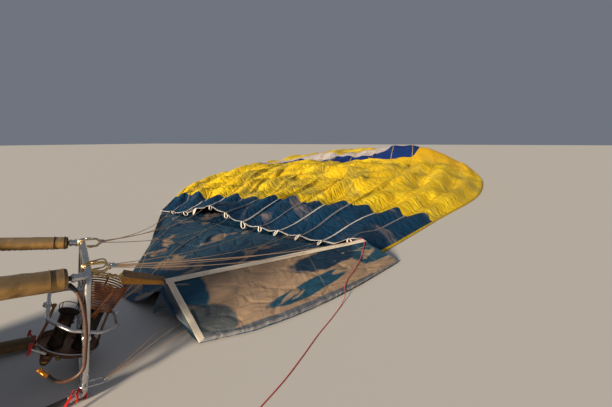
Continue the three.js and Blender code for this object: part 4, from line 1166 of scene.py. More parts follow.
def add_scoop():
    """Both panels are cut with spare cloth, so that they lie in broad folds, and bound with white tape."""
    share, across = np.meshgrid(np.linspace(0, 1, 110), np.linspace(0, 1, 120), indexing="ij")
    far, foot = line_at(far_line, share), foot_at(share)
    flat = far + (foot - far) * across[..., None]
    x, y = flat[..., 0], flat[..., 1]
    inside = np.clip(share / 0.1, 0, 1) * np.clip((1 - share) / 0.08, 0, 1)
    inside = inside * np.clip((1 - across) / 0.35, 0, 1)
    z = 0.012 + 0.09 * np.maximum(wander(31, x / 0.55 + 0.4 * y, y / 0.8), 0) * inside
    z += 0.05 * np.maximum(wander(32, x / 0.22, y / 0.5 + x), 0) * inside
    tent = np.exp(-(np.hypot(x - NOSE[0], y - NOSE[1]) / 0.4) ** 1.3)
    z += 0.33 * tent * np.clip((1 - across) / 0.37, 0, 1) ** 1.2
    points = np.stack([x, y, z], -1)
    held = np.zeros(x.shape)
    held[:, 0] = 0.3
    held[:, -1] = 1.0
    held[-1] = 1.0
    held[np.hypot(x - NOSE[0], y - NOSE[1]) < 0.12] = 1.0
    points = settle("scoop_draft", points, (0.07, 0.07, 0), held, floor_under(points), 24, 0.5)
    points[..., 2] = np.maximum(points[..., 2], 0.003)
    points = finer(points, 116, 124) + ORIGIN
    shape = thick(points, SHEET, points[..., :2])
    ground = piece("scoop_ground_panel", [shape], "scoop", replaces=["scoop_ground_panel"], sharp=80)

    share, across = np.meshgrid(np.linspace(0, 1, 130), np.linspace(0, 1, 60), indexing="ij")
    leaning = scoop_side(across, share, foot_at(share))
    leaning[..., 2] += 0.008
    waves = wander(33, share * 9, across * 2.2 + share * 5) * np.sin(np.pi * across)
    leaning[..., 2] += 0.03 * (waves * np.clip(share / 0.05, 0, 1))
    held = np.zeros(share.shape)
    held[:, -1] = 1.0
    held[:, 0] = 1.0
    held[0] = 0.8
    held[-1] = 1.0
    support = floor_under(leaning, 0.008)
    side = settle("scoop_side_draft", leaning, (0.045, 0.045, 0.03), held, support, 24, 0.4)
    side[..., 2] = np.maximum(side[..., 2], 0.02)
    side = finer(side, SIDE_ROWS, SIDE_COLUMNS) + ORIGIN
    along_hem = np.linspace(0, length_of(side[:, -1]), SIDE_ROWS)[:, None] + 0 * side[..., 0]
    down = np.linspace(0, 1.1, SIDE_COLUMNS) + 0 * side[..., 0]
    gathered = np.abs(wander(35, along_hem / 0.045, 0 * down)) * np.exp(-down / 0.07)
    side[..., 2] += 0.014 * gathered
    side[..., 1] -= 0.010 * gathered
    shape = thick(side[:, ::-1], SHEET, np.stack([down, along_hem], -1)[:, ::-1])
    made = piece("scoop_side_panel", [shape], "scoop_side", replaces=["scoop_side_panel"], sharp=80)

    outward = unit(np.cross(side[-1, -1] - side[0, -1], side[0, -1] - side[0, 0]))
    outward *= -np.sign(outward[1])
    front = evenly(side[1:4].mean(0), 12) + 0.011 * outward
    front[0, 2] = ORIGIN[2] + 0.03
    front = ribbon(curve(front, 60), 0.06, TAPE_DEPTH, outward)
    hem = ribbon(curve(evenly(side[:, -3], 16) + 0.009 * outward, 90), 0.06, TAPE_DEPTH, outward + 0.25 * up)
    piece("scoop_hem_tapes", [hem, front], "hem_tape", sharp=80)
    foot_tape = laid_strip(side[:, :4][:, ::-1], 0.04)
    piece("scoop_foot_hem", [foot_tape], "foot_hem", sharp=80)
    return side


def add_front_flap(edge):
    """Flap between the scoop's front edge and the ground, hung from the nose and slack along its own lower
    edge, which is a line with an arch; waves run down it that are widest at the foot."""
    along_edge, down = np.meshgrid(np.linspace(0, 1, 44), np.linspace(0, 1, 36), indexing="ij")
    top = evenly(edge[::-1], 44)
    share = along_edge[:, 0]
    low = ORIGIN + np.stack([
        FLAP_FOOT[0] + (NOSE_FOOT[0] - FLAP_FOOT[0]) * share,
        FLAP_FOOT[1] + (NOSE_FOOT[1] - FLAP_FOOT[1]) * share,
        0.02 + 0.45 * share * (1 - share),
    ], -1)
    points = top[:, None] + (low - top)[:, None] * down[..., None]
    wave = 0.022 * np.sin(9 * along_edge + 2.2 * down) + 0.012 * wander(38, along_edge * 7, down * 3)
    slack = wave * np.sin(np.pi * np.minimum(down, 0.75) / 1.5) * (1 - along_edge) ** 0.5
    points = points + slack[..., None] * unit(np.array([-0.25, -1.0, 0.1]))
    uv = np.stack([down * 0.45, along_edge * 0.66 + 4], -1)
    flap = piece("scoop_front_flap", [thick(points, SHEET, uv)], "flap", sharp=80)


side_cloth = add_scoop()
add_front_flap(side_cloth[0])


# Load frame, karabiners and flying wires
FRAME_TUBE = 0.021
FRAME_BEND = 0.09
SOCKET = 0.024
SOCKET_LENGTH = 0.09
KARABINER = 0.068, 0.0258, 0.005
KARABINER_Y = 0.33
RIM_INSET = BASKET_CORNER - (BASKET_CORNER + (EDGE - WALL - EDGE) / 2) * math.sqrt(0.5)
CORNERS = {"near_high": (1, 1), "far_high": (1, -1), "near_low": (-1, 1), "far_low": (-1, -1)}


def rounded(half_x, half_y, bend, steps=10):
    """Rectangle with round corners, in XY, as points round it."""
    points = []
    for k, (x, y) in enumerate(((1, 1), (-1, 1), (-1, -1), (1, -1))):
        turn = np.linspace(0, np.pi / 2, steps) + k * np.pi / 2
        centre = np.array([x * (half_x - bend), y * (half_y - bend)])
        points.append(centre + bend * np.stack([np.cos(turn), np.sin(turn)], -1))
    points = np.concatenate(points)
    return np.concatenate([points, np.zeros((len(points), 1))], -1)


def frame_corner(x, y):
    inset = FRAME_BEND * (1 - math.sqrt(0.5))
    return burner_frame.place([x * (FRAME_X - inset), y * (FRAME_Y - inset), 0])


def rim_corner(x, y):
    return basket.place([x * (BASKET_X - RIM_INSET), y * (BASKET_Y - RIM_INSET), 0])


def collar(a, b, radius, rounding=0.2, sides=32):
    """Round bar between two points with eased ends, as a turned part has."""
    a, b = np.asarray(a, float), np.asarray(b, float)
    way = b - a
    length = np.linalg.norm(way)
    ease = min(rounding * radius, 0.4 * length)
    turn = np.linspace(0, np.pi / 2, 5)
    end = ease * (1 - np.cos(turn)) / length
    at = np.concatenate([end, 1 - end[::-1]])
    size = radius - ease * (1 - np.sin(turn))
    size = np.concatenate([size, size[::-1]])
    return pipe(a + at[:, None] * way, size, sides, crosswise(way))


def long_loop(centre, way, side, half_long, half_wide, steps=12):
    """Points round a loop with straight sides and round ends."""
    straight = half_long - half_wide
    turn = np.linspace(0, np.pi, steps)[:, None]
    arc = np.sin(turn) * way + np.cos(turn) * side
    return centre + np.concatenate([end * straight * way + end * half_wide * arc for end in (1, -1)])


def add_load_frame():
    outline = burner_frame.place(rounded(FRAME_X, FRAME_Y, FRAME_BEND))
    shapes = [pipe(outline, FRAME_TUBE, 28, burner_frame.z, closed=True)]
    clamps, bolts = [], []
    for x, y in CORNERS.values():
        a, b = frame_corner(x, y), rim_corner(x, y)
        way = unit(b - a)
        end = a + SOCKET_LENGTH * way
        shapes.append(collar(a - 0.004 * way, end, SOCKET))
        shapes.append(collar(end - 0.022 * way, end - 0.006 * way, SOCKET + 0.004))
        shapes.append(ring_shape(a + 0.022 * way, way, SOCKET + 0.001, 0.0035))
        bolts.append(collar(end - 0.05 * way - 0.031 * up, end - 0.05 * way + 0.031 * up, 0.006))
    for side in (-1, 1):
        inner, outer = (burner_frame.place([0, side * r, 0]) for r in (0.422, 0.476))
        bore, face, edge = 0.0105, 0.023, 0.025
        profile = [
            (bore, 0), (face, 0), (edge, 0.002), (edge, 0.052), (face, 0.054), (bore, 0.054), (bore, 0),
        ]
        boss = Axes(inner, [burner_frame.x, burner_frame.z * -side, unit(outer - inner)])
        shapes.append(lathe(profile, boss, 40))
    piece("load_frame_tubes", shapes, "steel", replaces=["load_frame"])
    piece("socket_bolts", bolts, "steel")


def karabiner(centre, way, side):
    """Steel karabiner: a long loop of round bar with a screwed sleeve on its gate side."""
    half_long, half_wide, rod_radius = KARABINER
    loop = long_loop(centre, way, side, half_long + rod_radius, half_wide + rod_radius)
    shapes = [pipe(loop, rod_radius, 12, np.cross(way, side), closed=True)]
    gate = centre + (half_wide + rod_radius) * side
    shapes.append(collar(gate - 0.02 * way, gate + 0.02 * way, rod_radius * 1.7, 0.5, 20))
    grooves = (-0.024, -0.012, -0.004, 0.004, 0.012, 0.024)
    return shapes + [ring_shape(gate + d * way, way, rod_radius * 1.5, 0.0012, 6, 24) for d in grooves]


def karabiner_place(x, y):
    forward = KARABINER[0] - KARABINER[1]
    return [FRAME_X, y * KARABINER_Y, forward] if x > 0 else [-KARABINER_Y, y * FRAME_Y, forward]


WIRE = 0.004
HIGH_WIRES = [
    ("flying_wire_near_high_1", 1, 1, 2.4, 0.06),
    ("flying_wire_near_high_2", 1, -1, 1.1, 0.09),
    ("flying_wire_far_high_1", -1, 1, -1.0, 0.11),
    ("flying_wire_far_high_2", -1, -1, -2.25, 0.11),
]
LOW_WIRES = [
    ("flying_wire_near_low", 1, [(1.15, -3.17, 0.075), (1.4, -1.8, 0.045)], 1.6),
    ("flying_wire_far_low", -1, [(0.15, -2.6, 0.06), (-0.35, -1.4, 0.04)], -0.7),
]
# More wires of the same sets, the high ones by side of the frame, place across, mouth's x and sag
MORE_HIGH_WIRES = [
    (1, 2, 1.75, 0.085), (1, -2, 0.44, 0.1), (1, 3, 2.18, 0.12), (-1, 2, -0.3, 0.13), (-1, -2, -1.75, 0.12),
]
MORE_LOW_WIRES = [
    (1, [(1.3, -3.1, 0.06), (1.75, -1.9, 0.05)], 2.18),
    (1, [(1.02, -3.1, 0.07), (0.9, -1.7, 0.05)], 0.87),
    (-1, [(0.1, -2.7, 0.08), (-0.9, -1.3, 0.05)], -1.75),
]


def wire_start(x, y, side):
    px, py, pz = karabiner_place(x, y)
    return burner_frame.place([px + side * 0.005, py, pz + KARABINER[0] + 0.0135])


def mouth_point(x):
    return ORIGIN + (x, MOUTH_SKEW * x, mouth_height(x) + CLOTH / 2)


def wire_ends(start, end):
    """Ferrules and eyes at a wire's two ends."""
    way = unit(end - start)
    return [
        collar(start + 0.012 * way, start + 0.05 * way, WIRE * 1.7, 0.4, 14),
        collar(end - 0.05 * way, end - 0.012 * way, WIRE * 1.7, 0.4, 14),
        ring_shape(start - 0.002 * way, np.cross(way, up), 0.013, 0.003, 8, 24),
        ring_shape(end + 0.004 * way, np.cross(way, up), 0.013, 0.003, 8, 24),
    ]


def add_rigging():
    for name, (x, y) in CORNERS.items():
        side = burner_frame.x if x > 0 else -y * burner_frame.y
        shapes = karabiner(burner_frame.place(karabiner_place(x, y)), burner_frame.z, side)
        # Only the near high karabiner gets the painted warm reflection
        finish = "gold_steel" if name == "near_high" else "steel"
        piece("karabiner_" + name + "_steel", shapes, finish, replaces=["karabiner_" + name])
    more = []
    for y, shift in ((1, 0.035), (1, -0.04), (-1, 0.04)):
        place = burner_frame.place([FRAME_X, y * KARABINER_Y + shift, KARABINER[0] - KARABINER[1]])
        turned = burner_frame.way(unit([0.12, 0.25 * np.sign(shift), 1]))
        side = unit(np.cross(turned, burner_frame.y))
        more += karabiner(place, turned, side)
    # The extra karabiners get the painted warm reflection
    piece("more_karabiners", more, "gold_steel")

    t = np.linspace(0, 1, 49)[:, None]

    def hung(start, end, sag):
        return start + (end - start) * t - 4 * sag * t * (1 - t) * up

    fittings = []
    for name, y, side, x, sag in HIGH_WIRES:
        start, end = wire_start(1, y, side), mouth_point(x)
        path = hung(start, end, sag)
        piece(name + "_strand", [pipe(path, WIRE, 8)], "wire", replaces=[name])
        fittings += wire_ends(start, end)
    extras = []
    for y, side, x, sag in MORE_HIGH_WIRES:
        start, end = wire_start(1, y, 0) + side * 0.012 * burner_frame.y, mouth_point(x)
        extras.append(pipe(hung(start, end, sag), WIRE * 0.8, 8))
        fittings += wire_ends(start, end)
    for name, y, via, x in LOW_WIRES:
        start = wire_start(-1, y, 0)
        end = ORIGIN + (x, MOUTH_SKEW * x + 0.06, CLOTH + GAP + WIRE + 0.0002)
        route = curve([start, *[ORIGIN + v for v in via], end], 90)
        piece(name + "_strand", [pipe(route, WIRE, 8)], "wire", replaces=[name])
        fittings += wire_ends(start, start + 0.5 * unit(route[8] - route[0]))[:3:2]
    for y, via, x in MORE_LOW_WIRES:
        start = wire_start(-1, y, 0) + 0.008 * up
        end = ORIGIN + (x, MOUTH_SKEW * x + 0.06, 0.02)
        extras.append(pipe(curve([start, *[ORIGIN + v for v in via], end], 90), WIRE * 0.8, 8))
    piece("more_flying_wires", extras, "wire")
    piece("wire_fittings", fittings, "steel", slot="wire_steel")


# Chain and strap between the frame and the scoop's nose
LINK_PITCH = 0.049
STRAP_FROM = 0.301


def add_scoop_line():
    start = burner_frame.place([0.415, 0.435, FRAME_TUBE + 0.004 + 0.0025])
    nose = ORIGIN + NOSE + (0, 0, CLOTH / 2)
    way = unit(nose - start)
    side = unit(np.cross(way, up))
    flat = np.cross(side, way)
    links = []
    for k in range(6):
        turn = (k % 2) * np.pi / 2 + 0.4
        across = math.cos(turn) * flat + math.sin(turn) * side
        link = long_loop(start + (0.025 + k * LINK_PITCH) * way, way, across, 0.025, 0.014)
        links.append(pipe(link, 0.004, 10, np.cross(way, across), closed=True))
    # The chain gets the painted warm reflection
    piece("scoop_chain_links", links, "gold_steel", replaces=["scoop_chain"])
    shackle = start + (0.05 + 5 * LINK_PITCH + 0.004) * way
    pin = collar(shackle - 0.03 * flat, shackle + 0.03 * flat, 0.006)
    piece("strap_ring", [ring_shape(shackle, side, 0.021, 0.0045, 12, 40), pin], "gold_steel")
    length = np.linalg.norm(nose - start) - STRAP_FROM
    t = np.linspace(0, 1, 60)[:, None]
    base = start + (STRAP_FROM + (length - 0.004) * t) * way
    layers = ("scoop_strap_lower", -1, "strap", 0.35), ("scoop_strap_upper", 1, "strap_shade", -0.3)
    for name, shift, finish, tilt in layers:
        spread = 0.026 - 0.008 * t
        sag = 0.008 * np.sin(np.pi * t) + 0.004 * np.sin(9 * t + shift)
        path = base + shift * spread * flat + sag * side * shift
        wide = (0.054 - 0.016 * t)[..., None]
        right = np.array([[0.96, -1], [1, -0.8], [1, 0.8], [0.96, 1]])
        band = 0.5 * np.concatenate([[(-1, -0.8), (-0.96, -1)], right, [(-0.96, 1), (-1, 0.8)]])
        deep = np.broadcast_to(band[None, :, 1:] * 0.003, (60, 8, 1))
        section = np.concatenate([band[None, :, :1] * wide, deep], -1)
        shape = swept(path, section, side + tilt * flat)
        piece(name, [shape], finish, replaces=["scoop_strap"] if shift < 0 else [], sharp=60)


add_load_frame()
add_rigging()
add_scoop_line()


# Gimbal ring and burner, in the ring's own axes: X up at rest, Y on the pivots, Z the way the flame goes
RING_X, RING_Y, RING_CUT, RING_BEND = 0.215, 0.372, 0.13, 0.028
RING_TUBE = 0.012
BOSS_TO = 0.238
COIL = {"x": -0.086, "low": 0.105, "high": 0.16, "turns": 12, "pitch": 0.0182, "tube": 0.0063, "start": 0.034}
RISER = 0.010
PAN = {"radius": 0.203, "top": -0.25, "bottom": -0.295, "flare": 0.02}
HANGER = {"x": 0.179, "radius": 0.009, "above": 0.012, "below": -0.15}
JET_CAN = {"radius": 0.062, "top": -0.008, "jet": 0.007}
QUIET = {"x": 0.078, "radius": 0.05, "top": -0.03, "flare": 0.02}
PAN_FLOOR = PAN["bottom"] + 0.0053
PAN_HOLES = [
    (0.6, 0.12, 0.024), (1.35, 0.14, 0.018), (2.2, 0.13, 0.022), (5.3, 0.13, 0.02), (4.4, 0.14, 0.016),
]


def eight_sided(half_x, half_y, cut):
    """Rectangle with its corners cut at 45 degrees, every corner eased by a short arc."""
    corners = np.array([
        (half_x, -half_y + cut), (half_x, half_y - cut), (half_x - cut, half_y), (-half_x + cut, half_y),
        (-half_x, half_y - cut), (-half_x, -half_y + cut), (-half_x + cut, -half_y), (half_x - cut, -half_y),
    ])
    before, after = np.roll(corners, 1, 0), np.roll(corners, -1, 0)
    a = corners + RING_BEND * unit(before - corners)
    b = corners + RING_BEND * unit(after - corners)
    t = np.linspace(0, 1, 7)[None, :, None]
    eased = (1 - t) ** 2 * a[:, None] + 2 * t * (1 - t) * corners[:, None] + t**2 * b[:, None]
    flat = eased.reshape(-1, 2)
    return np.concatenate([flat, np.zeros((len(flat), 1))], -1)


def turned_bar(a, b, radius, rounding=0.2, sides=32):
    """Eased round bar between two points of the gimbal's axes."""
    return collar(gimbal.place(a), gimbal.place(b), radius, rounding, sides)


def circle_points(centre, radius, height, count=96):
    return polar(radius, np.linspace(0, 2 * np.pi, count, endpoint=False), height) + (centre, 0, 0)


def add_gimbal_ring():
    outline = gimbal.place(eight_sided(RING_X, RING_Y, RING_CUT))
    shapes = [pipe(outline, RING_TUBE, 24, gimbal.z, closed=True)]
    nuts = []
    for side in (-1, 1):
        x, y = np.array([side, 0, 0]), np.array([0, side, 0])
        shapes.append(turned_bar((RING_Y - 0.004) * y, 0.472 * y, 0.01))
        shapes.append(turned_bar((RING_Y + 0.006) * y, 0.416 * y, 0.0175))
        shapes.append(turned_bar((RING_X - 0.015) * x, BOSS_TO * x, 0.02))
        nuts.append(turned_bar(0.4725 * y, 0.482 * y, 0.016, 0.15, 6))
        nuts.append(turned_bar((BOSS_TO + 0.0005) * x, (BOSS_TO + 0.009) * x, 0.0155, 0.15, 6))
    piece("gimbal_ring_tube", shapes, "ring_metal", "gimbal_ring", replaces=["gimbal_ring"])
    piece("pivot_nuts", nuts, "steel", "gimbal_ring")


def coil_point(t):
    """Centre line of the coil at t, from its foot at 0 to its top at 1: a helix on a cone."""
    radius = COIL["low"] + (COIL["high"] - COIL["low"]) * t
    turn = 2 * np.pi * COIL["turns"] * t + np.pi / 2
    z = COIL["start"] + COIL["turns"] * COIL["pitch"] * t
    return polar(radius, turn, z) + (COIL["x"], 0, 0)


def add_coil():
    """Vaporising coil: twelve turns that widen upwards, the riser outside them, and the holding strips."""
    tube, x, start, high = COIL["tube"], COIL["x"], COIL["start"], COIL["high"]
    turns = coil_point(np.linspace(0, 1, COIL["turns"] * 48))
    shapes = [pipe(gimbal.place(turns), tube, 12, gimbal.z)]
    top, foot = coil_point(np.array(1.0)), coil_point(np.array(0.0))
    outside = high + tube + 1.6 * RISER
    riser = [
        top, (x - 0.02, outside, top[2] - 0.03), (x + 0.01, outside - 0.012, top[2] - 0.12),
        (x + 0.03, COIL["low"] + 0.03, start - 0.01), (x + 0.04, 0.07, JET_CAN["top"] - 0.04),
        (x + 0.036, 0.056, JET_CAN["top"] - 0.06),
    ]
    shapes.append(pipe(gimbal.place(curve(riser, 110)), RISER, 16, gimbal.x))
    shapes.append(rod(gimbal.place(foot), gimbal.place([x, 0.058, JET_CAN["top"] - 0.036]), tube, 14))
    piece("burner_coil_tube", shapes, "scorched", "burner", replaces=["burner_coil"])
    strips = []
    t = np.linspace(0.01, 0.99, 50)
    radius = COIL["low"] + (high - COIL["low"]) * t + tube + 0.0012
    height = start + COIL["turns"] * COIL["pitch"] * t
    for angle in (0.35, 2.45, 4.55):
        line = np.stack([x + radius * np.cos(angle), radius * np.sin(angle), height], -1)
        face = gimbal.way([math.cos(angle), math.sin(angle), 0])
        strips.append(ribbon(gimbal.place(line), 0.013, 0.002, face, 0.2))
    clips = []
    for share in (0.3, 0.62):
        middle = gimbal.place([x + 0.004, outside - 0.007, start + 0.2 * share])
        clips.append(ring_shape(middle, gimbal.way([0.1, 0.3, 1]), RISER + 0.002, 0.0018, 8, 28))
    piece("coil_strips", strips, "scorched", "burner", sharp=60)
    piece("riser_clips", clips, "steel", "burner", slot="scorched_coil")


def add_pan():
    """Spun pan with a rolled bright rim, its two hangers, and the arms on the ring's pivots."""
    r, top, flare, bottom = PAN["radius"], PAN["top"], PAN["flare"], PAN["bottom"]
    inner = r - flare
    profile = [
        (0, bottom), (inner - 0.02, bottom), (inner - 0.004, bottom + 0.003), (inner + 0.004, bottom + 0.014),
        (r - 0.001, top - 0.004), (r - 0.006, top - 0.004), (inner - 0.003, bottom + 0.018),
        (inner - 0.010, bottom + 0.008), (inner - 0.024, bottom + 0.005), (0.11, bottom + 0.005),
        (0.105, bottom + 0.0065), (0.1, bottom + 0.005), (0, bottom + 0.005),
    ]
    shapes = [lathe(profile, gimbal, 96)]
    x, above, below = HANGER["x"], HANGER["above"], HANGER["below"]
    for side in (-1, 1):
        line = [
            (side * x, 0, above), (side * x, 0, -0.06), (side * x, 0, below + 0.02),
            (side * (x + 0.001), 0, below), (side * (r - 0.012), 0, top - 0.014),
        ]
        shapes.append(pipe(gimbal.place(curve(line, 40)), HANGER["radius"], 16, gimbal.y))
        shapes.append(turned_bar([side * (x - 0.008), 0, 0], [side * (BOSS_TO - 0.002), 0, 0], 0.01))
        shapes.append(turned_bar([side * x, 0, -0.012], [side * x, 0, 0.0135], 0.0125))
    piece("burner_pan_spun", shapes, "pan", "burner", replaces=["burner_pan"])
    rim = gimbal.place(circle_points(0, r - 0.0035, top - 0.002, 120))
    bead = pipe(rim, 0.0038, 12, gimbal.z, closed=True)
    piece("pan_rim", [bead], "ring_metal", "burner", slot="burner_metal")
    rivets, holes = [], []
    for k in range(12):
        angle = 2 * np.pi * k / 12 + 0.2
        place, out = polar(r - 0.010, angle, top - 0.022), polar(1, angle, -0.45)
        rivets.append(turned_bar(place - 0.004 * out, place + 0.0065 * out, 0.0045, 0.6, 12))
    for angle, reach, size in PAN_HOLES:
        place = polar(reach, angle, PAN_FLOOR - 0.0005)
        holes.append(turned_bar(place, place + (0, 0, 0.0022), size, 0.3, 28))
    piece("pan_rivets", rivets, "steel", "burner")
    piece("pan_grommets", holes, "soot", "burner")


def add_corner_webbing():
    """Red strap wound round the frame's lower near socket, with its buckle and a loose end."""
    a, b = frame_corner(-1, 1), rim_corner(-1, 1)
    way = unit(b - a)
    bands = []
    for from_corner, tilt in ((0.004, 0.5), (0.030, -0.3), (0.052, 0.25)):
        line = ring_line(a + from_corner * way, way + tilt * near, SOCKET + 0.0075)
        bands.append(swept(line, band_section(0.02, 0.0028), way, closed=True))
    end = [
        a + 0.03 * way + 0.034 * up, a + 0.05 * way + 0.052 * up + 0.03 * near,
        a + 0.09 * way + 0.030 * up + 0.075 * near, a + 0.13 * way - 0.012 * up + 0.10 * near,
        a + 0.17 * way - 0.036 * up + 0.125 * near,
    ]
    bands.append(ribbon(curve(end, 40), 0.02, 0.0028, up))
    piece("corner_webbing", bands, "red_web", sharp=60)
    buckle = long_loop(end[1], unit(end[2] - end[0]), near, 0.02, 0.014)
    piece("corner_buckle", [pipe(buckle, 0.003, 8, up, closed=True)], "steel")


def add_cans():
    """Jet can with its ring of jets under the coil, and the quiet burner beside it with its open mouth."""
    floor = PAN_FLOOR
    can = gimbal.moved([COIL["x"], 0, 0])
    r, top = JET_CAN["radius"], JET_CAN["top"]
    profile = [
        (0, floor), (r, floor), (r, floor + 0.012), (r - 0.003, floor + 0.016), (r - 0.003, -0.19),
        (r, -0.186), (r, -0.176), (r - 0.003, -0.172), (r - 0.003, top - 0.02), (r, top - 0.016),
        (r, top - 0.003), (r - 0.003, top), (r - 0.022, top), (r - 0.025, top - 0.02), (0, top - 0.022),
    ]
    shapes = [lathe(profile, can, 64)]
    jets = r - 0.012
    jet_ring = can.place(circle_points(0, jets, top + 0.003))
    shapes.append(pipe(jet_ring, JET_CAN["jet"], 14, can.z, closed=True))
    for k in range(16):
        jet = can.place(polar(jets, 2 * np.pi * k / 16, top + 0.008))
        shapes.append(collar(jet, jet + 0.009 * can.z, 0.0028, 0.3, 10))
    piece("jet_can_body", shapes, "cast", "burner", replaces=["jet_can"])
    quiet = gimbal.moved([QUIET["x"], 0, 0])
    r, top, flare = QUIET["radius"], QUIET["top"], QUIET["flare"]
    profile = [
        (0, floor), (r, floor), (r, floor + 0.02), (r - 0.003, floor + 0.024), (r - 0.003, -0.15),
        (r, -0.146), (r, -0.138), (r - 0.003, -0.134), (r - 0.001, top - 0.024), (r + 0.008, top - 0.012),
        (r + flare, top), (r + flare - 0.003, top + 0.002), (r + 0.003, top - 0.010),
        (r - 0.007, top - 0.022), (r - 0.007, top - 0.06), (0, top - 0.062),
    ]
    shapes = [lathe(profile, quiet, 64)]
    for k in range(10):
        angle = 2 * np.pi * k / 10
        slot = quiet.place(polar(r - 0.002, angle, -0.19))
        out = quiet.way(polar(1, angle))
        shapes.append(collar(slot - 0.003 * out, slot + 0.004 * out, 0.006, 0.3, 12))
    piece("quiet_burner_body", shapes, "cast", "burner", replaces=["quiet_burner"])
    reach = np.array([0.072, 0.105, 1])
    hoop = circle_points(0, 1, 0.0, 64) * reach
    guard = [pipe(quiet.place(hoop), 0.003, 10, quiet.z, closed=True)]
    for angle in (0.9, 2.3, 4.0, 5.4):
        out = polar(1, angle)
        foot, head = out * (r, r, 0) + (0, 0, -0.142), out * reach
        guard.append(rod(quiet.place(foot), quiet.place(head), 0.0026, 8))
    piece("flame_guard", guard, "soot", "burner")
    knobs = []
    for angle, height in ((1.2, -0.09), (3.4, -0.12)):
        place, out = polar(r, angle, height), polar(1, angle, 0.2)
        a, b = quiet.place(place - 0.004 * out), quiet.place(place + 0.016 * out)
        knobs.append(collar(a, b, 0.007, 0.5, 16))
    piece("pilot_knobs", knobs, "dark_red", "burner")


def add_valves():
    """Valves under the pan: the brass block with its tap, the leg of the liquid valve, and their taps."""
    under = PAN["bottom"] - GAP
    middle = under - 0.022
    block = gimbal.moved([0.09, 0.02, middle])
    outline = rounded(0.035, 0.035, 0.008, 5)
    levels = [(0.0, -0.022), (0.97, -0.022), (1.0, -0.020), (1.0, 0.020), (0.97, 0.022), (0.0, 0.022)]
    rows = np.stack([outline * (k, k, 0) + (0, 0, z) for k, z in levels])
    tap = 0.036, 0.07
    bars = [
        ((*tap, under - 0.0026), (*tap, -0.355), 0.014),
        ((*tap, -0.318), (*tap, -0.334), 0.0185, 0.15, 6),
        ((*tap, -0.348), (*tap, -0.36), 0.0165, 0.15, 6),
        ((0.09, 0.02, middle), (*tap, middle), 0.012),
        ((0.09, 0.05, middle), (0.09, 0.078, middle), 0.015, 0.15, 6),
        ((0.09, 0.076, middle), (0.09, 0.1, middle), 0.010),
    ]
    shapes = [grid(block.place(rows), wrap=True)] + [turned_bar(*bar) for bar in bars]
    piece("valve_block_brass", shapes, "brass", "burner", replaces=["valve_block"])
    leg = gimbal.moved([0.115, 0.108, 0])
    profile = [
        (0, under - 0.001), (0.04, under - 0.001), (0.042, under - 0.006), (0.037, under - 0.026),
        (0.031, under - 0.056), (0.024, under - 0.068), (0.022, under - 0.078), (0, under - 0.079),
    ]
    piece("valve_leg", [lathe(profile[::-1], leg, 40)], "pan", "burner")
    taps = []
    way = np.array([0.2, 0.9, 0.1])
    for x, y, z in ((0.036, 0.07, -0.327), (0.115, 0.125, -0.335)):
        centre = np.array([x, y, z])
        grip = centre + way * 0.04
        taps.append(turned_bar(centre, grip, 0.006))
        taps.append(turned_bar(grip - (0.016, 0, 0), grip + (0.016, 0, 0), 0.006, 0.8, 14))
    piece("valve_taps", taps, "brass", "burner")


def add_lever():
    """Blast lever: a white stem with a red T grip, its ends rounded, and a dark red trigger beside it."""
    foot, end = np.array([0.1315, 0.1411, PAN["bottom"] + 0.0137]), np.array([0.232, 0.182, -0.232])
    half = np.array([0, 0.036, -0.027])
    t = np.linspace(-1, 1, 33)
    radius = 0.0095 * (1 - np.abs(t) ** 8 * 0.75) * (1 + 0.10 * t**2)
    grip = pipe(gimbal.place(end + t[:, None] * half), radius, 16, up)
    piece("blast_lever_grip", [grip], "red", "burner", replaces=["blast_lever"])
    stem = [turned_bar(foot, end, 0.005), turned_bar(foot, foot + 0.3 * (end - foot), 0.0085)]
    piece("blast_lever_stem", stem, "white_plastic", "burner")
    a, b = np.array([0.178, 0.06, -0.256]), np.array([0.262, 0.085, -0.17])
    tip = np.array([0, 0.02, -0.012])
    trigger = [turned_bar(a, b, 0.0045), turned_bar(b - tip, b + tip, 0.0085, 0.9)]
    piece("quiet_trigger", trigger, "dark_red", "burner")


# Cords: the fuel hose, and the red line with its coil and knot
HOSE = 0.011
HOSE_ROUTE = [
    (0.362, 0.425, -0.102), (0.339, 0.4385, -0.0755), (0.305, 0.453, -0.0515), (0.262, 0.467, -0.0345),
    (0.206, 0.479, -0.0215), (0.118, 0.489, -0.0085), (0.020, 0.493, -0.0035), (-0.075, 0.491, -0.0045),
    (-0.160, 0.487, -0.007), (-0.196, 0.484, -0.014), (-0.228, 0.479, -0.034), (-0.250, 0.473, -0.064),
    (-0.260, 0.467, -0.100), (-0.256, 0.460, -0.136), (-0.238, 0.453, -0.169), (-0.210, 0.445, -0.194),
]


def add_hose():
    route = curve(burner_frame.place(HOSE_ROUTE), 160)
    sideways = burner_frame.y
    hose = piece("fuel_hose_tube", [pipe(route, HOSE, 18, sideways)], "hose", replaces=["fuel_hose"])
    way = unit(route[-1] - route[-2])
    start = burner_frame.place(HOSE_ROUTE[-1]) + 0.0008 * way
    nut = [
        collar(start, start + 0.024 * way, 0.0145, 0.15, 6),
        collar(start + 0.022 * way, start + 0.05 * way, 0.0125),
        collar(start + 0.048 * way, start + 0.07 * way, 0.0138, 0.2, 24),
    ]
    nut += [ring_shape(start + d * way, way, 0.0126, 0.0012, 6, 28) for d in (0.028, 0.033, 0.038, 0.043)]
    coupling = piece("hose_coupling_brass", nut, "orange_brass", replaces=["hose_coupling"])
    sleeves = [
        pipe(route[:14], np.linspace(0.0155, 0.012, 14), 20, sideways),
        pipe(route[-12:], np.linspace(0.012, 0.0142, 12), 20, sideways),
    ]
    cuffs = piece("hose_cuffs", sleeves, "black", slot="hose_rubber")


add_corner_webbing()
add_gimbal_ring()
add_coil()
add_pan()
add_cans()
add_valves()
add_lever()
add_hose()


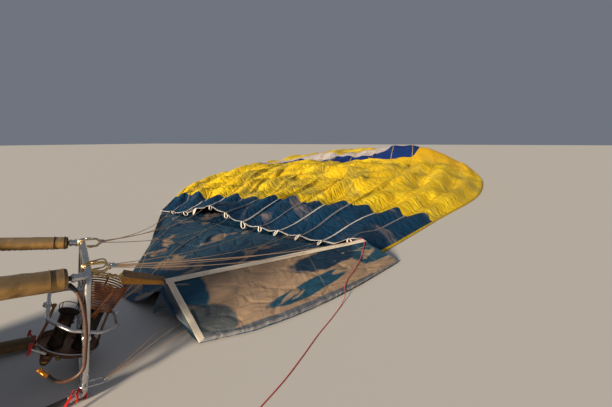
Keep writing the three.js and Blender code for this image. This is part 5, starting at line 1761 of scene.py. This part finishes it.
# Uprights: a flexible rod in a padded suede cover, from the frame's sockets to the basket's rim
ROD = 0.016
COVER_FROM = 0.045
COVER_GRID = 124, 52
COVERS = {
    "near_high": {"bare": 0.065, "radius": 0.068},
    "far_high": {"bare": 0.052, "radius": 0.052},
    "near_low": {"bare": 0.25, "radius": 0.05},
    "far_low": {"bare": 0.25, "radius": 0.05},
}


def cover_shape(start, end, radius, seed):
    """Padded sleeve: a tube whose radius has slack folds across it, two sewn bands near each end and a laced
    seam below; at both ends it turns in to the rod. Returns the shape and the sleeve's own rows of points."""
    rows, around = COVER_GRID
    length = np.linalg.norm(end - start)
    way = unit(end - start)
    side = unit(np.cross(up, way))
    over = np.cross(way, side)
    turn = 2 * np.pi * np.arange(around) / around
    run = np.linspace(0.001, length - 0.001, rows)[:, None]
    from_end = np.minimum(run, length - run)
    bound = 1 - 0.06 * np.exp(-from_end / 0.006) - 0.035 * np.exp(-(((from_end - 0.062) / 0.004) ** 2))
    lace = np.exp(-((np.angle(np.exp(1j * (turn + 0.5 * np.pi))) / 0.14) ** 2))
    stitch = 0.5 + 0.5 * np.cos(2 * np.pi * run / 0.03)
    slack = 0.030 * wander(seed, run / 0.045 + 1.4 * np.sin(turn) + 20, 3 + 1.7 * np.sin(turn + 0.6))
    slack = slack + 0.022 * wander(seed + 1, run / 0.17 + 20, 5 + 1.3 * np.cos(turn + 1))
    drawn_in = lace * (0.03 + 0.04 * stitch)
    size = radius * (bound * (0.965 + slack * np.clip(from_end / 0.07, 0.15, 1)) - drawn_in)

    def ring(size, run):
        return (start + run[..., None] * way + (size * np.cos(turn))[..., None] * side
                + (size * np.sin(turn))[..., None] * over)

    sleeve = ring(size, run)
    tuck = [(0.955, 0.0), (0.90, 0.002), (0.80, 0.009), (0.55, 0.014)]
    core = (ROD + 0.0012) * np.ones(around)

    def inward(size, flip):
        shrunk = [size * share for share, _ in tuck] + [core, 0 * core]
        depths = [depth for _, depth in tuck] + [0.016, 0.016]
        return np.stack([ring(s, np.array([length - d if flip else d])) for s, d in zip(shrunk, depths)])

    rows_in = inward(size[0], False)[::-1]
    rows_out = inward(size[-1], True)
    points = np.concatenate([rows_in, sleeve, rows_out])
    runs = np.concatenate([np.zeros(6), run[:, 0], np.full(6, length)])
    uv = np.stack(np.meshgrid(2 * np.pi * radius * np.arange(around + 1) / around, runs), -1)
    return grid(points, wrap=True, uv=uv), sleeve


def add_uprights():
    for seed, (name, (x, y)) in enumerate(CORNERS.items(), 50):
        a, b = frame_corner(x, y), rim_corner(x, y)
        way = unit(b - a)
        span = np.linalg.norm(b - a)
        slant = math.sqrt(1 - (way @ ahead) ** 2)
        radius, bare = COVERS[name]["radius"], COVERS[name]["bare"]
        bar = rod(a + (SOCKET_LENGTH + GAP) * way, a + (span - ROD * slant - GAP) * way, ROD, 24, 14)
        node = "upright_rod_" + name
        piece(node + "_bar", [bar], "black", replaces=[node])
        start = a + (COVER_FROM + bare) * way
        end = a + (span - radius * slant - GAP) * way
        shape, sleeve = cover_shape(start, end, radius, seed)
        node = "upright_cover_" + name
        cover = piece(node + "_sleeve", [shape], "suede", replaces=[node], sharp=70)
        bands = []
        for row in (3, 13, -14, -4):
            line = sleeve[row] + 0.0008 * unit(sleeve[row] - sleeve[row].mean(0))
            bands.append(swept(line, band_section(0.009, 0.0016), way, closed=True))
        laces = []
        under = sleeve[:, round(0.75 * sleeve.shape[1])]
        across = unit(np.cross(up, way))
        for k in range(8, len(under) - 8, 5):
            a1, b1 = under[k] - 0.014 * across, under[k + 3] + 0.014 * across
            middle = (a1 + b1) / 2 - 0.004 * up
            laces.append(pipe(curve([a1 + 0.006 * up, a1, middle, b1, b1 + 0.006 * up], 9), 0.0016, 6))
        piece("cover_bands_" + name, bands, "suede_binding", slot="suede")
        piece("cover_laces_" + name, laces, "suede_binding", slot="suede")


# Red line: one laid rope from the mouth over the side panel to its coil, whose end is a knot
RED_ROPE = 0.004
RED_START_X = 2.402
COIL_OUTER = 0.064
COIL_RINGS = (0.0592, 0.0510, 0.0428)
COIL_LAYERS = (0.0041, 0.0122, 0.0203, 0.0284)
KNOT_SIZE = 0.0046


def red_route():
    """Points of the stretch that isn't coiled, from the mouth to the coil."""
    def on_panel(across, share):
        across, share = np.array(across), np.array(share)
        return scoop_side(across, share, line_at(foot_line, share)) + (0, 0, CLOTH + 4 * RED_ROPE)

    height = mouth_height(RED_START_X) + CLOTH + RED_ROPE + 0.001
    start = (RED_START_X, MOUTH_SKEW * RED_START_X + 0.016, height)
    return np.array([
        start, on_panel(0.92, 0.985), on_panel(0.72, 0.93), on_panel(0.5, 0.86), on_panel(0.3, 0.78),
        on_panel(0.12, 0.7), (2.445, -2.09, 2 * CLOTH + RED_ROPE + 0.006), (2.44, -2.26, RED_ROPE + 0.004),
        (2.4, -2.56, RED_ROPE), (2.35, -2.85, RED_ROPE), (2.312, -3.16, RED_ROPE), (2.27, -3.45, RED_ROPE),
        (2.215, -3.7, RED_ROPE), (2.17, -3.88, RED_ROPE),
    ]) + ORIGIN


def rested_on(route, surface, lift):
    """The same route, laid on a surface wherever it passes over it, its heights then eased."""
    flat = surface[::2, ::2].reshape(-1, 3)
    away = np.hypot(route[:, None, 0] - flat[:, 0], route[:, None, 1] - flat[:, 1])
    nearest = np.argpartition(away, 4, axis=1)[:, :4]
    near_by = np.take_along_axis(away, nearest, 1)
    share = 1 / (near_by + 0.002) ** 2
    height = (flat[nearest, 2] * share).sum(1) / share.sum(1) + lift
    run = np.linspace(0, 1, len(route))
    over = (near_by[:, 0] < 0.03) & (run > 0.012)
    z = np.where(over, height, route[:, 2])
    padded = np.pad(z, 5, mode="edge")
    z = np.convolve(padded, np.ones(11) / 11, "valid")
    return np.column_stack([route[:, :2], np.maximum(z, ORIGIN[2] + RED_ROPE)])


def coil_turns(centre, way, side):
    """Turns of the coil: three rings side by side in a layer and four layers; towards the end of each turn
    the rope steps to the next ring."""
    back = COIL_RINGS[::-1]
    places = [(r, z) for k, z in enumerate(COIL_LAYERS) for r in (back if k % 2 else COIL_RINGS)]
    table = np.array([*places, places[-1]])
    t = np.linspace(0, len(places), len(places) * 40 + 1)
    k = np.minimum(t.astype(int), len(places) - 1)
    step = smoothstep((t - k - 0.82) / 0.18)[:, None]
    radius, height = (table[k] + (table[k + 1] - table[k]) * step).T
    angle = 2 * np.pi * t - np.pi / 2
    out = np.cos(angle)[:, None] * way + np.sin(angle)[:, None] * side
    return centre + radius[:, None] * out + height[:, None] * up


def add_red_line(panel):
    route = curve(red_route(), 420)
    way = unit((route[-1] - route[-4]) * (1, 1, 0))
    side = np.cross(up, way)
    centre = route[-1] + way * (COIL_OUTER + GAP)
    centre[2] = ORIGIN[2]
    coil = Axes(centre, [way, side, up])
    route = rested_on(route, panel, 0.012)
    route = route[np.linalg.norm(route - route[-1], axis=1) > 0.15]
    outer, low, top = COIL_RINGS[0], COIL_LAYERS[0], COIL_LAYERS[-1]
    joining = coil.place([
        (-0.15, -0.012, RED_ROPE), (-0.095, -0.036, RED_ROPE), (-0.045, -0.0550, low), (0, -outer, low),
    ])
    joining = curve([route[-1], *joining], 40)
    turns = coil_turns(centre, way, side)
    tail = coil.place([
        (0, -outer, top), (0.028, -outer - 0.001, 0.027), (0.052, -outer - 0.010, 0.017),
        (0.058, -outer - 0.026, 0.008), (0.042, -outer - 0.038, 0.0046), (0.0178, -0.0992, 0.006),
    ])
    path = evenly(np.concatenate([route, joining[1:-1], turns, curve(tail, 40)[1:]]), 1150)
    whole = pipe(path, RED_ROPE, 9)
    rope = piece("red_line_rope", [whole], "red_rope", replaces=["red_line_run", "red_line_coil"])

    # The knot is the curve of radius 2 + cos 3t and height sin 3t at the angle 2t, open where its ends cross
    t = np.linspace(0.3, 2 * np.pi - 0.3, 60)
    spread = (2 + np.cos(3 * t)) * KNOT_SIZE
    ball = Axes(coil.place([0.012, -0.083, 0.0090]), [-side, -way, up])
    bight = polar(spread, 2 * t, KNOT_SIZE * np.sin(3 * t))
    end = ball.place([(0.0165, 0.0075, -0.0045), (0.021, 0.019, -0.0048), (0.030, 0.032, -0.0048)])
    tied = curve([path[-1], *ball.place(bight)[::3], *end], 150)
    knot_shapes = [pipe(tied, RED_ROPE, 10), collar(tied[-12], tied[-3], RED_ROPE + 0.0008, 0.3, 14)]
    knot = piece("red_line_overhand_knot", knot_shapes, "red_rope", replaces=["red_line_knot"])
    start, out = path[0], unit(path[6] - path[0])
    wraps = (0.006, 0.3), (0.013, -0.2), (0.02, 0.2)
    hitch = [ring_shape(start + d * out, out + tilt * up, 0.0072, RED_ROPE * 0.8, 8, 24) for d, tilt in wraps]
    loop = long_loop(start - 0.018 * out, out, side, 0.024, 0.010)
    hitch.append(pipe(loop, RED_ROPE * 0.8, 8, closed=True))
    tied_on = piece("red_line_hitch", hitch, "red_rope")


# Basket, in its own axes: X and Y across it and Z from its floor to its rim
RIM_DEPTH = 0.07
STAKES = 64
ROUNDS = 49
CYLINDER_RADIUS = 0.125


def wall_line(inset, z, count):
    """Points equally far apart on the basket's outline, some way inside it; closed, with no point twice."""
    line = rounded(BASKET_X - inset, BASKET_Y - inset, BASKET_CORNER - inset, 14)
    line = evenly(np.concatenate([line, line[:1]]), count + 1)[:-1]
    return line + (0, 0, z)


def outwards(line):
    """Directions out of the basket at each point of a line round it."""
    return np.cross(unit(np.roll(line, -1, 0) - np.roll(line, 1, 0)), (0, 0, 1))


def add_weave():
    """Willow rods that pass before one stake and behind the next: the wall's middle line with a cosine of the
    distance across it, its sign turned over from one round to the next."""
    steps = 3
    middle = wall_line(WALL / 2, 0, STAKES * steps)
    outward = outwards(middle)
    willow = circle(1, 5) * (0.0056, 0.0106)
    wave = np.cos(np.pi * np.arange(len(middle)) / steps)
    height = (BASKET_HEIGHT - RIM_DEPTH) / ROUNDS
    rng = np.random.default_rng(71)
    rounds = []
    for k in range(ROUNDS):
        reach = 0.0118 * (-1) ** k * wave + rng.uniform(-0.0005, 0.0005, len(middle))
        uneven = 0.0008 * np.sin(np.arange(len(middle)) * 0.13 + rng.uniform(0, 6))
        z = -BASKET_HEIGHT + (k + 0.5) * height + uneven
        line = middle + reach[:, None] * outward + z[:, None] * (0, 0, 1)
        rounds.append(swept(basket.place(line), willow, basket.z, closed=True))
    piece("basket_weave_rounds", rounds, "wicker", replaces=["basket_weave"], sharp=60)
    stakes = []
    for place in middle[::steps]:
        z = np.linspace(-BASKET_HEIGHT + 0.002, -RIM_DEPTH - 0.001, 10)[:, None]
        stakes.append(pipe(basket.place(place * (1, 1, 0) + z * (0, 0, 1)), 0.0062, 7, near))
    piece("basket_stakes", stakes, "wicker")


def add_rim():
    """Padded rim: a soft squared section round the basket, drawn in where its laces hold it."""
    count = 360
    middle = wall_line(WALL / 2, -RIM_DEPTH / 2, count)
    ties = 36
    phase = np.arange(count) / count * ties
    pulled = np.exp(-(((phase + 0.5) % 1 - 0.5) / 0.11) ** 2)
    full = 0.988 - 0.075 * pulled + 0.006 * wander(72, np.arange(count) / 7.0, 0 * phase)
    section = soft_section(WALL / 2 + EDGE, RIM_DEPTH / 2, 0.62, 0.62, 26, 0)
    path = basket.place(middle)
    padding = swept(path, section * full[:, None, None], basket.z, closed=True)
    rim = piece("basket_rim_padding", [padding], "hide", replaces=["basket_rim"], sharp=70)
    tangent, across, over = frames(path, basket.z, closed=True)
    laces = []
    for k in range(ties):
        at = round(k * count / ties)
        loop = path[at] + (section[:, :1] * across[at] + section[:, 1:] * over[at]) * (full[at] + 0.012)
        laces.append(swept(loop, band_section(0.009, 0.0022), tangent[at], closed=True))
    piece("rim_laces", laces, "suede_binding", sharp=50)


def add_scuff_band():
    """Leather band round the foot with a rolled edge above and below, and a row of studs."""
    low = -BASKET_HEIGHT - GAP - 0.018
    high = low + 0.12
    middle = basket.place(wall_line(-EDGE / 2, (low + high) / 2, 300))
    band = swept(middle, soft_section(0.0088, 0.059, 0.4, 0.2, 16), basket.z, closed=True)
    piece("scuff_band_leather", [band], "hide", replaces=["basket_scuff_band"], sharp=50)
    edges = []
    for z in (low + 0.005, high - 0.005):
        line = basket.place(wall_line(-EDGE + 0.0035, z, 300))
        edges.append(pipe(line, 0.0034, 8, basket.z, closed=True))
    piece("scuff_band_piping", edges, "suede_binding")
    face = wall_line(-EDGE + 0.0012, low + 0.094, 300)
    outward = outwards(face)
    studs = []
    for k in range(0, 300, 8):
        head = basket.place(face[k])
        out = basket.way(outward[k])
        studs.append(collar(head - 0.002 * out, head + 0.001 * out, 0.006, 0.9, 12))
    piece("scuff_band_studs", studs, "brass")


def add_cylinders():
    """Four fuel cylinders in quilted jackets, each with its bright collar, valve, gauge and two straps."""
    radius = CYLINDER_RADIUS
    collars, valves, wheels, dials, straps = [], [], [], [], []
    count = 1
    for x in (-1, 1):
        for y in (-1, 1):
            inset = WALL + radius + GAP
            bottle = basket.moved([x * (BASKET_X - inset), y * (BASKET_Y - inset), -BASKET_HEIGHT + GAP])
            z = np.linspace(0.07, 0.64, 96)
            seams = np.exp(-((((z - 0.07) / 0.095 + 0.5) % 1 - 0.5) / 0.05) ** 2)
            body = np.stack([radius - 0.0012 - 0.0045 * seams, z], -1)
            profile = np.concatenate([
                [(0, 0), (0.091, 0), (0.098, 0.004), (0.103, 0.030), (0.113, 0.046), (0.1205, 0.060)], body,
                [(0.118, 0.660), (0.108, 0.686), (0.0985, 0.702), (0.0965, 0.708), (0, 0.709)],
            ])
            name = "fuel_cylinder_" + str(count)
            quilt = lathe(profile, bottle, 54)
            jacket = piece(name + "_jacket", [quilt], "jacket", replaces=[name], sharp=60)
            count += 1
            ring = [
                (0, 0.7095), (0.0945, 0.7095), (0.0945, 0.786), (0.0962, 0.793), (0.0955, 0.799),
                (0.0915, 0.7995), (0.0885, 0.796), (0.0875, 0.786), (0.0875, 0.722), (0.075, 0.728),
                (0.03, 0.739), (0, 0.741),
            ]
            collars.append(lathe(ring, bottle, 64))
            collars.append(lathe([(0, 0.740), (0.024, 0.740), (0.024, 0.747), (0.0, 0.748)], bottle, 6))
            at = bottle.place
            valves.append(collar(at([0, 0, 0.742]), at([0, 0, 0.772]), 0.013))
            valves.append(collar(at([0, 0.01, 0.757]), at([0, 0.045, 0.757]), 0.010, 0.2, 6))
            valves.append(collar(at([-0.01, 0, 0.757]), at([-0.034, 0, 0.757]), 0.009))
            hub = at([0, 0, 0.784])
            wheels.append(ring_shape(hub, bottle.z, 0.024, 0.0045, 12, 40))
            wheels += [rod(hub, hub + 0.024 * bottle.way(polar(1, a)), 0.003, 8) for a in (0.3, 2.4, 4.5)]
            wheels.append(collar(at([0, 0, 0.770]), at([0, 0, 0.790]), 0.007))
            dials.append(collar(at([-0.055, -0.02, 0.735]), at([-0.055, -0.02, 0.750]), 0.019, 0.15, 36))
            for level in (0.21, 0.555):
                line = bottle.place(circle_points(0, radius - 0.0008, level, 72))
                straps.append(swept(line, band_section(0.0024, 0.038), bottle.z, closed=True))
                buckle = bottle.place([-x * (radius - 0.001), 0, level])
                out = bottle.way([-x, 0, 0])
                outline = long_loop(buckle + 0.0035 * out, bottle.z, bottle.y, 0.026, 0.020)
                dials.append(pipe(outline, 0.0028, 8, out, closed=True))
    piece("cylinder_collars", collars, "ring_metal")
    piece("cylinder_valves", valves, "brass")
    piece("cylinder_handwheels", wheels, "red")
    piece("cylinder_gauges_and_buckles", dials, "steel")
    piece("cylinder_straps", straps, "suede_binding", sharp=60)


def add_basket():
    add_weave()
    add_rim()
    add_scuff_band()
    add_cylinders()
    for name in ("basket_floor", "floor_runner_1", "floor_runner_2"):
        board = frame["nodes"][name].data.materials
        board.clear()
        board.append(material["board"])


add_uprights()
add_red_line(side_cloth)
add_basket()
add_stage()
